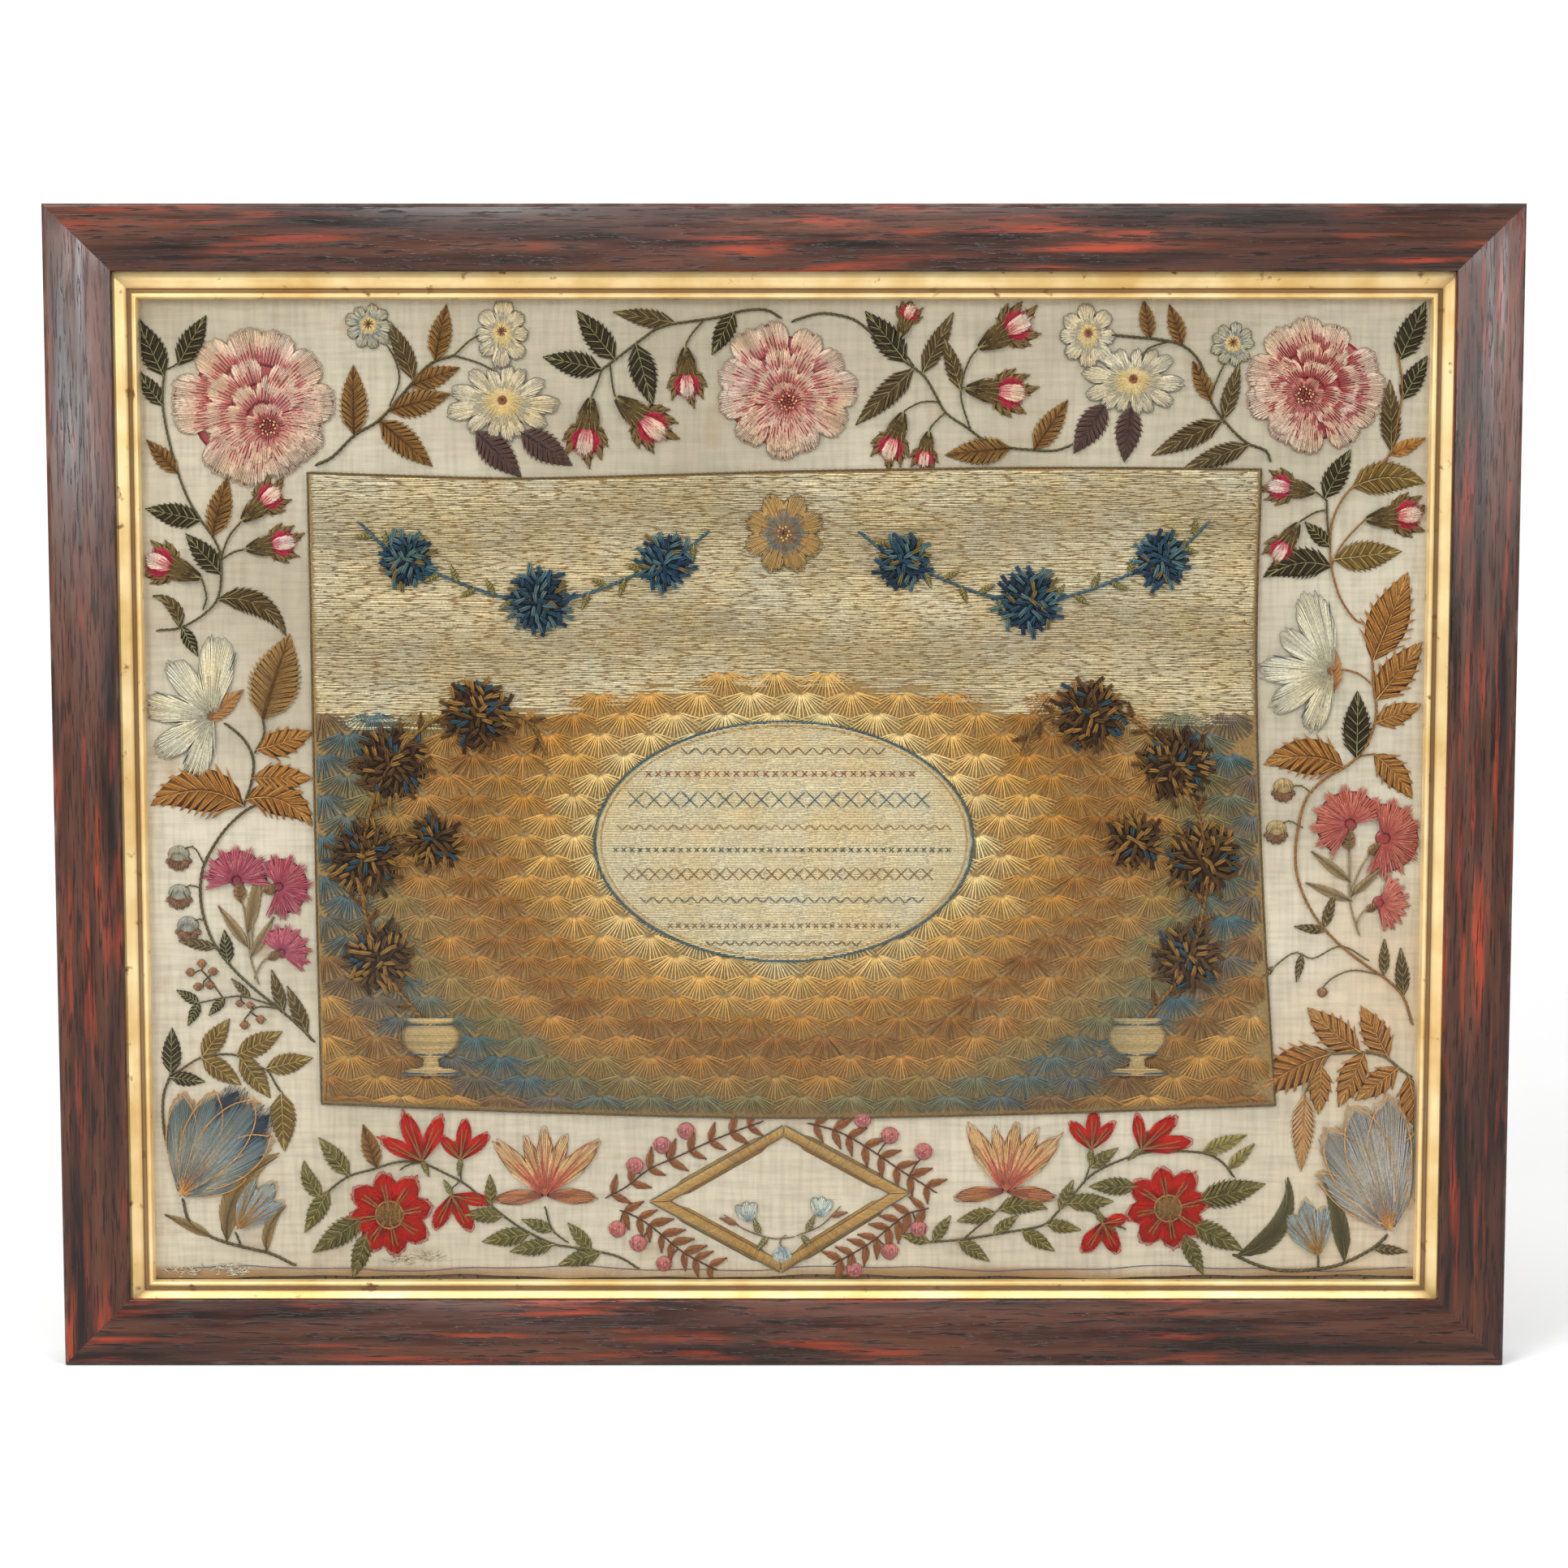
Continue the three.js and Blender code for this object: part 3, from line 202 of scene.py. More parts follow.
def stitchMaterial(name, roughness, specular, lustre):
    # thread colour from the stitch, with fine light and dark along the plies
    material, tree, surface = newMaterial(name, roughness, specular=specular)
    shade = painted(tree, "tint")
    plies = noise(tree, 900, 2)
    worn = noise(tree, 45, 3)
    dark = blended(tree, 1.0, shade.outputs["Color"], linear(lustre, lustre, lustre), "MULTIPLY")
    mottled = blended(tree, plies, dark, shade.outputs["Color"])
    faded = blended(tree, 1.0, mottled, linear(255, 246, 226), "MULTIPLY")
    link(tree, blended(tree, worn, faded, mottled), surface.inputs["Base Color"])
    bumped(tree, surface, plies, 0.00012, 0.6)
    return material


silk = stitchMaterial("silk thread", 0.34, 0.5, 215)
crewel = stitchMaterial("crewel thread", 0.62, 0.07, 215)
wool = stitchMaterial("wool thread", 0.85, 0.08, 185)


# Stitches

def newBag(plane=clothY):
    return {"plane": plane, "points": [], "faces": [], "tints": [], "count": 0}


def keepInSight(points):
    # no stitch reaches behind the gilt slip
    low = np.array([sight["left"], sight["low"]])
    high = np.array([sight["right"], sight["high"]])
    return np.clip(points, low, high)


def pack(bag, flat, height, tint, faces):
    # flat is (count, corners, 2) in threads, height in mm and tint the light values there
    flat = keepInSight(flat)
    place = np.stack([flat[..., 0] * thread, bag["plane"] - height * 0.001,
                      middle + flat[..., 1] * thread], -1)
    count, corners = place.shape[:2]
    first = place[0][faces]
    volume = np.einsum("ij,ij->", first[:, 0], np.cross(first[:, 1], first[:, 2]))
    if volume < 0:
        faces = faces[:, ::-1]
    offsets = bag["count"] + corners * np.arange(count)
    bag["points"].append(place.reshape(-1, 3))
    bag["faces"].append((faces[None] + offsets[:, None, None]).reshape(-1, 3))
    bag["tints"].append(np.broadcast_to(tint, (count, corners, 3)).reshape(-1, 3))
    bag["count"] += count * corners


def tubeFaces(rings, size):
    # a point, rings of equal size and a point, joined in turn
    j = np.arange(size)
    after = (j + 1) % size
    faces = [np.stack([0 * j, 1 + j, 1 + after], 1)]
    for r in range(rings - 1):
        low = 1 + r * size
        high = low + size
        faces.append(np.stack([low + j, high + j, high + after], 1))
        faces.append(np.stack([low + j, high + after, low + after], 1))
    last = 1 + (rings - 1) * size
    end = 1 + rings * size
    faces.append(np.stack([0 * j + end, last + after, last + j], 1))
    return np.concatenate(faces)


def strands(bag, line, half, low, high, tint):
    # Closed strands: a low triangle carried along each line (count, stations, 2) of threads. half is its
    # half width in threads, low and high its foot and crest in mm, all (count, stations); the first and
    # last station close to a point.
    run = np.gradient(line, axis=1)
    reach = np.maximum(np.linalg.norm(run, axis=2, keepdims=True), 1e-6)
    side = leftOf(run) / reach
    count, stations = line.shape[:2]
    across = side[:, 1:-1] * half[:, 1:-1, None]
    body = line[:, 1:-1]
    ring = np.stack([body - across, body, body + across], 2)
    flat = np.concatenate([line[:, :1], ring.reshape(count, -1, 2), line[:, -1:]], 1)
    level = np.stack([low[:, 1:-1], high[:, 1:-1], low[:, 1:-1]], 2).reshape(count, -1)
    level = np.concatenate([low[:, :1], level, low[:, -1:]], 1)
    shade = np.repeat(np.broadcast_to(tint, (count, stations, 3))[:, 1:-1], 3, 1)
    ends = np.broadcast_to(tint, (count, stations, 3))
    shade = np.concatenate([ends[:, :1], shade, ends[:, -1:]], 1)
    pack(bag, flat, level, shade, tubeFaces(stations - 2, 3))


def sew(bag, start, end, width, lifts, crest, tints, steps=3, fade=1.0):
    # Straight stitches from start to end (threads), width in mm. The height runs from lifts[0] to
    # lifts[1] and bows out by crest * 4t(1 - t). The shade goes from tints[0] to tints[1] by t^fade.
    start = np.atleast_2d(start)
    end = np.atleast_2d(end)
    count = max(len(start), len(end))
    t = np.array([0, 0.12, 0.5, 0.88, 1.0]) if steps == 3 else np.array([0, 0.15, 0.85, 1.0])
    line = start[:, None] + (end - start)[:, None] * t[None, :, None]
    width = np.broadcast_to(np.asarray(width, float), (count,))[:, None]
    share = np.where((t == 0) | (t == 1), 0.0, 1.0) * np.where(abs(t - 0.5) > 0.3, 0.8, 1.0)
    first, second = (np.broadcast_to(np.asarray(v, float), (count,))[:, None] for v in lifts)
    bow = np.broadcast_to(np.asarray(crest, float), (count,))[:, None]
    level = first * (1 - t) + second * t + bow * 4 * t * (1 - t)
    a, b = (np.broadcast_to(v, (count, 3))[:, None] for v in tints)
    turned = (t**fade)[None, :, None]
    shade = a * (1 - turned) + b * turned
    strands(bag, line, width * perMm / 2 * share, level - 0.3 * width * share,
            level + 0.4 * width * share, shade)


def alongRoute(points, spacing):
    # A smooth line through given points, each stretch a cubic blend of its four neighbours, then
    # cut into equal steps of about the spacing.
    p = np.array(points, float)
    p = np.vstack([2 * p[0] - p[1], p, 2 * p[-1] - p[-2]])
    before, start, end, after = (p[i:len(p) - 3 + i, None] for i in range(4))
    u = np.linspace(0, 1, 12, endpoint=False)[None, :, None]
    curve = 0.5 * (2 * start + (end - before) * u + (2 * before - 5 * start + 4 * end - after) * u**2
                   + (3 * start - before - 3 * end + after) * u**3)
    curve = np.vstack([curve.reshape(-1, 2), p[-2]])
    gone = np.concatenate([[0], np.cumsum(np.linalg.norm(np.diff(curve, axis=0), axis=1))])
    at = np.linspace(0, gone[-1], max(3, round(gone[-1] / spacing) + 1))
    return np.stack([np.interp(at, gone, curve[:, i]) for i in range(2)], 1)


def cord(bag, points, width, tint, level=0.7, spacing=7.0, second=None):
    # Stem stitch: short slanting stitches, each from one side of the line to the other.
    line = alongRoute(points, spacing)
    run = np.gradient(line, axis=0)
    side = leftOf(run) / np.linalg.norm(run, axis=1)[:, None]
    offset = side * width * perMm * 0.22
    count = len(line) - 1
    shades = varied(tint, count, 0.12)
    tip = shades if second is None else varied(second, count, 0.12)
    sew(bag, line[:-1] - offset[:-1] - run[:-1] * 0.25, line[1:] + offset[1:] + run[1:] * 0.25,
        width * 0.8, (level * 0.7, level * 0.7), level * 0.35, (shades, tip))


def domes(bag, centre, outline, rows, tint):
    # Padding: rings of one outline (angle, reach) around each centre, rows of (share, height in mm).
    centre = np.atleast_2d(np.asarray(centre, float))
    angle, reach = outline
    ring = rays(angle) * np.asarray(reach)[:, None]
    flat = np.concatenate([np.zeros((1, 2))] + [ring * share for share, _ in rows] + [np.zeros((1, 2))])
    level = np.concatenate([[rows[0][1]]] + [np.full(len(ring), h) for _, h in rows] + [[rows[-1][1]]])
    count = len(centre)
    pack(bag, centre[:, None] + flat[None], np.broadcast_to(level, (count, len(level))),
         np.broadcast_to(tint, (count, 1, 3)), tubeFaces(len(rows), len(ring)))


def newPiece(name, mesh, material, nodes):
    # one piece of the part, which is a single body, in place of the solids it is named for
    mesh.materials.append(material)
    piece = bpy.data.objects.new(name, mesh)
    bpy.context.scene.collection.objects.link(piece)
    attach(piece, "root")
    if nodes:
        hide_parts(*nodes)
    return piece


def finishPiece(name, bag, nodes, material):
    # everything sewn into the bag becomes one mesh, each point with its thread's colour
    points, faces, tints = (np.concatenate(bag[part]) for part in ("points", "faces", "tints"))
    mesh = bpy.data.meshes.new(name)
    mesh.vertices.add(len(points))
    mesh.vertices.foreach_set("co", points.astype(np.float32).ravel())
    mesh.loops.add(faces.size)
    mesh.loops.foreach_set("vertex_index", faces.astype(np.int32).ravel())
    mesh.polygons.add(len(faces))
    mesh.polygons.foreach_set("loop_start", np.arange(0, faces.size, 3, dtype=np.int32))
    mesh.update(calc_edges=True)
    shade = mesh.attributes.new("tint", "FLOAT_COLOR", "POINT")
    solid = np.ones((len(points), 4), np.float32)
    solid[:, :3] = tints.clip(0, 1)
    shade.data.foreach_set("color", solid.ravel())
    mesh.polygons.foreach_set("use_smooth", np.ones(len(faces), bool))
    mesh.validate()
    newPiece(name, mesh, material, nodes)


# Leaves

# Width by length, height in mm, three colours, veins on each side, how jagged the edge is, how far the
# stitches slant along the leaf, stitches to a tooth and the gap between stitches in mm.
leafParts = ("plump", "rise", "fill", "tip", "vein", "veins", "jag", "slant", "tooth", "gap")
leafKinds = {
    "dark": (0.44, 1.5, (50, 40, 27), (66, 54, 36), (148, 144, 100), 6, 0.2, 0.17, 4, 0.76),
    "bronze": (0.42, 1.5, (118, 82, 42), (156, 118, 66), (78, 52, 30), 6, 0.2, 0.16, 4, 0.76),
    "slim": (0.3, 1.3, (76, 58, 34), (100, 80, 50), (150, 138, 94), 5, 0.2, 0.2, 4, 0.76),
    "broad": (0.58, 1.6, (134, 100, 56), (166, 130, 80), (104, 74, 42), 5, 0.16, 0.14, 4, 0.76),
    "rust": (0.5, 1.4, (142, 90, 42), (178, 126, 66), (196, 156, 98), 8, 0.4, 0.2, 7, 0.76),
    "blade": (0.2, 1.3, (104, 84, 52), (156, 130, 84), (84, 66, 42), 0, 0.1, 0.24, 4, 0.76),
    "olive": (0.4, 1.5, (92, 84, 44), (124, 114, 66), (160, 148, 96), 5, 0.22, 0.18, 4, 0.76),
    "plum": (0.5, 1.6, (74, 42, 30), (92, 56, 40), (52, 32, 26), 5, 0.2, 0.15, 4, 0.76),
    "wreath": (0.36, 1.2, (136, 84, 50), (160, 106, 68), (104, 64, 40), 0, 0.16, 0.24, 4, 0.76),
    "frill": (0.42, 0.9, (112, 88, 52), (146, 122, 82), (92, 66, 44), 0, 0.7, 0.3, 4, 1.2),
    "gold": (0.4, 1.5, (160, 106, 48), (190, 140, 78), (132, 84, 42), 3, 0.14, 0.2, 4, 0.76),
    "gilded": (0.46, 1.5, (108, 84, 42), (138, 112, 60), (188, 168, 108), 6, 0.16, 0.16, 4, 0.76),
    "crescent": (0.2, 1.3, (66, 60, 38), (98, 92, 58), (118, 110, 72), 0, 0.1, 0.24, 4, 0.76),
    "sage": (0.36, 1.4, (132, 120, 68), (164, 152, 96), (104, 94, 54), 4, 0.2, 0.2, 4, 0.76),
    "faded": (0.3, 1.2, (180, 140, 98), (200, 164, 122), (160, 118, 78), 4, 0.2, 0.2, 4, 0.76),
}
leafKinds = {kind: dict(zip(leafParts, values)) for kind, values in leafKinds.items()}


def spine(x, z, turn, length, curl, t):
    # the middle line of a leaf: an even arc of that length, turning by curl from root to tip
    start = math.radians(turn)
    whole = math.radians(curl) or 1e-4
    way = start + whole * t
    line = np.stack([x + length * (np.sin(way) - math.sin(start)) / whole,
                     z + length * (math.cos(start) - np.cos(way)) / whole], 1)
    return line, np.stack([-np.sin(way), np.cos(way)], 1)


def padLeaf(bag, x, z, turn, length, curl, half, rise, tint):
    # one broad low strand along the middle, which lifts the stitches laid over it
    t = np.linspace(0.0, 0.97, 9)
    line, _ = spine(x, z, turn, length, curl, t)
    swell = np.sin(np.pi * t**0.8)
    strands(bag, line[None], (half * swell)[None], np.zeros((1, 9)), (rise * (0.35 + 0.5 * swell))[None],
            tint)


def leaf(bag, kind, x, z, turn, length, curl=0.0):
    # Fishbone stitch: on each side, stitches slant from the middle line out to an edge whose reach is
    # the sine of pi * t^0.8, each tooth growing over a few of them. The veins are laid over them.
    look = leafKinds[kind]
    half = length * look["plump"] / 2
    count = max(6, round(length * 0.44 / look["gap"]))
    t = np.linspace(0.0, 0.93, count)
    fill, tip, vein = (linear(*look[part]) for part in ("fill", "tip", "vein"))
    inner, normal = spine(x, z, turn, length, curl, t)
    outerT = np.minimum(t + look["slant"], 0.998)
    outer, outerNormal = spine(x, z, turn, length, curl, outerT)
    swell = np.sin(np.pi * outerT**0.8) ** 0.92
    crown = look["rise"] * (0.45 + 0.55 * np.sin(np.pi * t**0.8))
    padLeaf(bag, x, z, turn, length, curl, half * 0.86, look["rise"], fill * 0.7)
    veinT = np.linspace(0.08, 0.76, look["veins"])
    veinEnd = np.minimum(veinT + look["slant"] * 0.95, 0.98)
    veinRoot, _ = spine(x, z, turn, length, curl, veinT)
    veinTip, veinNormal = spine(x, z, turn, length, curl, veinEnd)
    veinReach = half * 0.84 * np.sin(np.pi * veinEnd**0.8)
    veinLift = look["rise"] * (0.45 + 0.55 * np.sin(np.pi * veinT**0.8)) + 0.22
    tooth = look["tooth"]
    for side in (-1, 1):
        saw = (np.arange(count) % tooth) / (tooth - 1)
        teeth = 1 + look["jag"] * (saw - 0.6 + 0.3 * (rng.random(count) - 0.5))
        rim = outer + outerNormal * (side * half * swell * teeth)[:, None]
        sew(bag, inner - normal * side * 0.8, rim, 1.0, (crown, 0.3), 0.4,
            (varied(fill, count, 0.16), varied(tip, count, 0.16)), 2)
        if look["veins"]:
            end = veinTip + veinNormal * (side * veinReach)[:, None]
            sew(bag, veinRoot, end, 0.7, (veinLift, 0.6), 0.45, (vein, vein * 0.9), 2)
    cord(bag, spine(x, z, turn, length * 0.95, curl, np.linspace(0, 1, 5))[0], 0.75, vein,
         look["rise"] * 1.05, 8.0)


# Petals

def threads(root, tip, edge, shade, **more):
    # a petal's four thread colours, with any of its fade, streaks and rim
    return {"root": root, "tip": tip, "edge": edge, "shade": shade, **more}


def heading(turn):
    # the unit vector at that angle in degrees, and the one to its left
    out = rays(math.radians(turn))
    return out, leftOf(out)


def petal(bag, x, z, turn, length, plump, look, lifts=(1.2, 0.5), bow=0.9, point=1.0, narrow=0.14):
    # Satin stitches fan out from the root. Across -1..1 their ends lie half the width times the sine
    # of a quarter turn to the side, and 0.52 to 1 of the length out by the cosine's power.
    base, tipTint, edge, shade = (linear(*look[part]) for part in ("root", "tip", "edge", "shade"))
    count = max(5, round(length * plump * 0.44 / 0.55))
    share = np.linspace(-1, 1, count) * np.pi / 2
    out, side = heading(turn)
    half = length * plump / 2
    root = np.array([x, z])
    jag = 1 + 0.03 * rng.standard_normal(count)
    reach = length * (0.52 + 0.48 * np.abs(np.cos(share)) ** point) * jag
    rim = root + reach[:, None] * out + (half * np.sin(share))[:, None] * side
    start = root + 0.03 * length * out + (length * plump * narrow * np.sin(share))[:, None] * side
    t = np.linspace(0, 0.96, 8)
    swell = np.sin(np.pi * t**1.25) ** 0.7
    rise = lifts[0] * (1 - t) + lifts[1] * t + bow * 4 * t * (1 - t)
    strands(bag, (root + (t * length)[:, None] * out)[None], (half * 0.92 * swell)[None],
            np.zeros((1, 8)), (rise * 0.8 * (swell > 0))[None], base * 0.75)
    streak = 1 + 0.16 * rng.standard_normal((count, 1)).clip(-1.4, 1.4)
    sew(bag, start, rim, 0.85, lifts, bow, (base * streak, tipTint * streak), 3, look.get("fade", 1.0))
    root = start[::look.get("streaks", 2)]
    few = len(root)
    share = rng.uniform(0.3, 0.66, (few, 1))
    inside = root + (rim[::look.get("streaks", 2)] - root) * share
    high = lifts[0] * 0.5 + lifts[1] * 0.5 + bow + 0.12
    sew(bag, root, inside, 0.7, (lifts[0] + 0.25, high), bow * 0.3,
        (varied(shade, few, 0.15), mixed(base, shade, np.full(few, 0.7))))
    sew(bag, rim[:-1], rim[1:], look.get("rim", 0.4), (lifts[1] + 0.15,) * 2, 0.1,
        (varied(edge, count - 1, 0.12),) * 2, 2)


def veinOn(bag, x, z, turn, length, tint, level, width=0.6):
    # a laid line from a petal's root towards its tip
    out, _ = heading(turn)
    cord(bag, [(x, z) + length * share * out for share in (0, 0.5, 1)], width, linear(*tint), level, 8.0)


goldenTurn = 2.4        # radians from one seed of a sunflower to the next


def knots(bag, x, z, reach, count, size, level, tints):
    # small round knots set evenly over a disc, on a sunflower spiral
    n = np.arange(count)
    away = reach * np.sqrt((n + 0.5) / count)
    spot = np.array([x, z]) + rays(goldenTurn * n) * away[:, None]
    arm = rays(rng.uniform(0, np.pi, count)) * size * perMm / 2
    shades = varied(linear(*tints[0]), count, 0.15)
    shades[n < count * 0.3] = linear(*tints[1])
    sew(bag, spot - arm, spot + arm, size * 0.95, (level, level), 0.15, (shades, shades))


def ovalReach(angle, across, up):
    # how far an oval's edge lies from its middle at each angle
    return across * up / np.hypot(up * np.cos(angle), across * np.sin(angle))


def oval(across, up, count=24):
    angle = np.linspace(0, 2 * np.pi, count, endpoint=False)
    return angle, ovalReach(angle, across, up)


peonyLook = {
    "pink": {
        "ground": (162, 60, 66),
        "outer": threads((172, 60, 68), (230, 210, 188), (150, 98, 82), (162, 46, 56), fade=0.6,
                         streaks=3, rim=0.32),
        "inner": threads((154, 32, 48), (222, 182, 162), (166, 84, 78), (138, 20, 36), fade=0.8,
                         streaks=2, rim=0.3),
    },
    "red": {
        "ground": (168, 36, 46),
        "outer": threads((158, 26, 34), (238, 218, 196), (156, 76, 62), (152, 20, 30), fade=0.75,
                         streaks=2, rim=0.32),
        "inner": threads((138, 14, 26), (218, 156, 138), (150, 52, 48), (124, 10, 22), fade=1.0,
                         streaks=2, rim=0.3),
    },
}


def peony(name, x, z, across, up, heart, kind):
    # Rings of overlapping rounded petals round a knotted heart that lies off the middle; each ring is
    # smaller, higher and nearer to the heart than the last.
    look = peonyLook[kind]
    bag = newBag()
    angle, reach = oval(across, up)
    domes(bag, (x, z), (angle, reach * 0.8), ((1, 0.0), (0.92, 0.7), (0.6, 1.6), (0.3, 2.0)),
          linear(*look["ground"]) * 0.8)
    rings = (
        {"count": 11, "from": 0.5, "to": 1.0, "lifts": (1.7, 0.5), "bow": 0.9, "part": "outer",
         "plump": 0.98},
        {"count": 9, "from": 0.34, "to": 0.8, "lifts": (2.3, 1.5), "bow": 0.6, "part": "outer",
         "plump": 0.86},
        {"count": 8, "from": 0.2, "to": 0.58, "lifts": (2.6, 2.1), "bow": 0.45, "part": "outer",
         "plump": 0.8},
        {"count": 7, "from": 0.06, "to": 0.34, "lifts": (2.8, 2.5), "bow": 0.3, "part": "inner",
         "plump": 0.8},
    )
    for n, ring in enumerate(rings):
        turn = np.arange(ring["count"]) * 2 * np.pi / ring["count"] + 0.35 * n
        turn = turn + rng.uniform(-0.1, 0.1, ring["count"])
        size = ovalReach(turn, across, up) * rng.uniform(0.93, 1.04, ring["count"])
        near = n / (len(rings) - 1)
        for way, full in zip(turn, size):
            start = full * ring["from"]
            spot = np.array([x, z]) + near * np.array(heart) + start * rays(way)
            petal(bag, *spot, math.degrees(way) + rng.uniform(-12, 12), full * (ring["to"] - ring["from"]),
                  ring["plump"], look[ring["part"]], ring["lifts"], ring["bow"], 0.55, 0.3)
    knots(bag, x + heart[0], z + heart[1], 11, 22, 1.5, 3.1, ((214, 182, 126), (150, 60, 50)))
    finishPiece("sewn_" + name, bag, [name], silk)


peony("peony_left", -644, 471, 101, 96, (16, -26), "pink")
peony("peony_middle", 0, 489, 88, 84, (4, -14), "pink")
peony("peony_right", 649, 495, 86, 81, (-16, -12), "red")
print("peonies sewn")

daisyLook = threads((196, 182, 148), (226, 214, 192), (112, 114, 110), (140, 138, 130), rim=0.5)
smallDaisyLook = threads((140, 142, 140), (206, 198, 172), (112, 104, 92), (104, 112, 122), rim=0.5)
hearts = {"disc": (206, 180, 118), "discTip": (228, 208, 160), "rust": (146, 82, 44), "share": 0.5}


def daisy(bag, x, z, across, up, count, look):
    # satin petals round an oval of long yellow stitches that spread from a rust tick
    angle, reach = oval(across, up)
    domes(bag, (x, z), (angle, reach * 0.6), ((1, 0.0), (0.9, 0.6), (0.5, 1.3)), linear(*look["root"]) * 0.7)
    turns = np.arange(count) * 2 * np.pi / count + rng.uniform(-0.08, 0.08, count)
    for way in turns:
        full = ovalReach(way, across, up) * rng.uniform(0.94, 1.05)
        start = full * 0.2
        petal(bag, *(np.array([x, z]) + start * rays(way)), math.degrees(way), full - start, 5.5 / count,
              look, (1.2, 0.5), 0.8, 0.5, 0.1)
    spread = np.linspace(0, 2 * np.pi, round(reach.mean() * 1.3), endpoint=False)
    rim = ovalReach(spread, across, up) * hearts["share"]
    out = rays(spread)
    start = np.array([x, z + up * 0.08]) + out * 1.5
    end = np.array([x, z]) + out * (rim * rng.uniform(0.86, 1.05, len(spread)))[:, None]
    disc, discTip = (varied(linear(*hearts[part]), len(spread), 0.1) for part in ("disc", "discTip"))
    sew(bag, start, end, 0.8, (2.2, 1.5), 0.3, (disc, discTip))
    few = len(spread) // 4
    rust = varied(linear(*hearts["rust"]), few, 0.2)
    sew(bag, start[::4][:few], start[::4][:few] + out[::4][:few] * 5, 0.8, (2.6, 2.4), 0.2, (rust, rust))


def daisies(name, blooms, leaves):
    bag = newBag()
    for values in leaves:
        leaf(bag, *values)
    for x, z, across, up, count, look in blooms:
        daisy(bag, x, z, across, up, count, look)
    finishPiece("sewn_" + name, bag, [name], silk)


daisies("daisies_left", [(-343, 557, 31, 42, 8, daisyLook), (-343, 474, 67, 46, 13, daisyLook)],
        [("plum", -376, 440, -45, 78), ("plum", -322, 440, -33, 76)])
daisies("daisies_right", [(370, 555, 33, 41, 8, daisyLook), (425, 500, 64, 40, 13, daisyLook)],
        [("plum", 392, 474, -122, 72), ("plum", 424, 470, -97, 68)])
daisies("small_daisy_left", [(-505, 567, 30, 28, 9, smallDaisyLook)], [])
daisies("small_daisy_right", [(546, 545, 27, 28, 9, smallDaisyLook)], [])

magnoliaLook = threads((186, 176, 146), (230, 224, 206), (120, 122, 116), (156, 154, 138), fade=0.7,
                       streaks=3, rim=0.4)
magnolias = {
    "magnolia_right": {"root": (672, 148), "calyx": (676, 122, 92, 60), "rows": [
        (108, 98, 0.44), (142, 76, 0.38), (179, 86, 0.4), (213, 84, 0.4), (252, 78, 0.4)]},
    "magnolia_left": {"root": (-704, 92), "calyx": (-712, 86, 40, 62), "rows": [
        (84, 98, 0.44), (126, 84, 0.4), (170, 88, 0.4), (214, 82, 0.42), (252, 80, 0.4)]},
}
blueLine = (44, 66, 96)


def petalsAt(bag, x, z, rows, look, rise=1.6, point=0.9, veins=None):
    # petals from one root, each row giving its turn, length and width by length
    for turn, length, plump in rows:
        petal(bag, x, z, turn, length, plump, look, (rise * 0.7, 0.5), rise * 0.5, point, 0.1)
        if veins is not None:
            for spread in (-5, 4):
                veinOn(bag, x, z, turn + spread, length * 0.72, veins, rise * 1.3 + 0.3, 0.8)


for name, plan in magnolias.items():
    bag = newBag()
    petalsAt(bag, *plan["root"], plan["rows"], magnoliaLook, 1.7, 0.45)
    x, z = plan["root"]
    for turn, length, plump in plan["rows"][::2]:
        # a dark blue line along one edge of every other petal
        out, _ = heading(turn - 90 * plump * 0.4)
        cord(bag, [(x, z) + length * share * out for share in (0.2, 0.5, 0.85)], 0.8, linear(*blueLine),
             1.3, 8.0)
    leaf(bag, "gold", *plan["calyx"])
    for turn, length, plump in plan["rows"]:
        leaf(bag, "gold", x, z, turn + 8, length * 0.3)
    finishPiece("sewn_" + name, bag, [name], silk)

carnationTints = {
    "carnations_left": {"deep": (128, 22, 52), "rose": (172, 52, 82), "pale": (208, 124, 134)},
    "carnations_right": {"deep": (154, 46, 44), "rose": (192, 88, 78), "pale": (220, 150, 124)},
}


def fringe(bag, tints, x, z, reach, start, end, count=150):
    # Cut threads fan out between two angles; their ends make teeth, and a shorter layer lies on top.
    deep, rose, pale = (linear(*tints[part]) for part in ("deep", "rose", "pale"))
    angle, _ = oval(reach, reach, 18)
    turned = np.degrees(angle)
    covered = ((turned - start) % 360) <= (end - start)
    domes(bag, (x, z), (angle, np.where(covered, reach * 0.8, reach * 0.2)),
          ((1, 0.0), (0.9, 0.6), (0.4, 1.7)),
          deep * 0.8)
    for share, level, some in ((1.0, (1.5, 0.5), count), (0.68, (2.1, 1.6), count // 2)):
        way = np.radians(np.linspace(start, end, some) + rng.uniform(-2, 2, some))
        teeth = 0.86 + 0.1 * np.cos(np.linspace(0, 2 * np.pi * 8, some)) + rng.uniform(-0.05, 0.08, some)
        out = rays(way)
        at = np.array([x, z])
        ends = mixed(rose, pale, rng.random(some) ** 1.5)
        sew(bag, at + out * reach * 0.1, at + out * (reach * share * teeth)[:, None], 0.75, level, 0.7,
            (varied(deep, some, 0.2), ends))


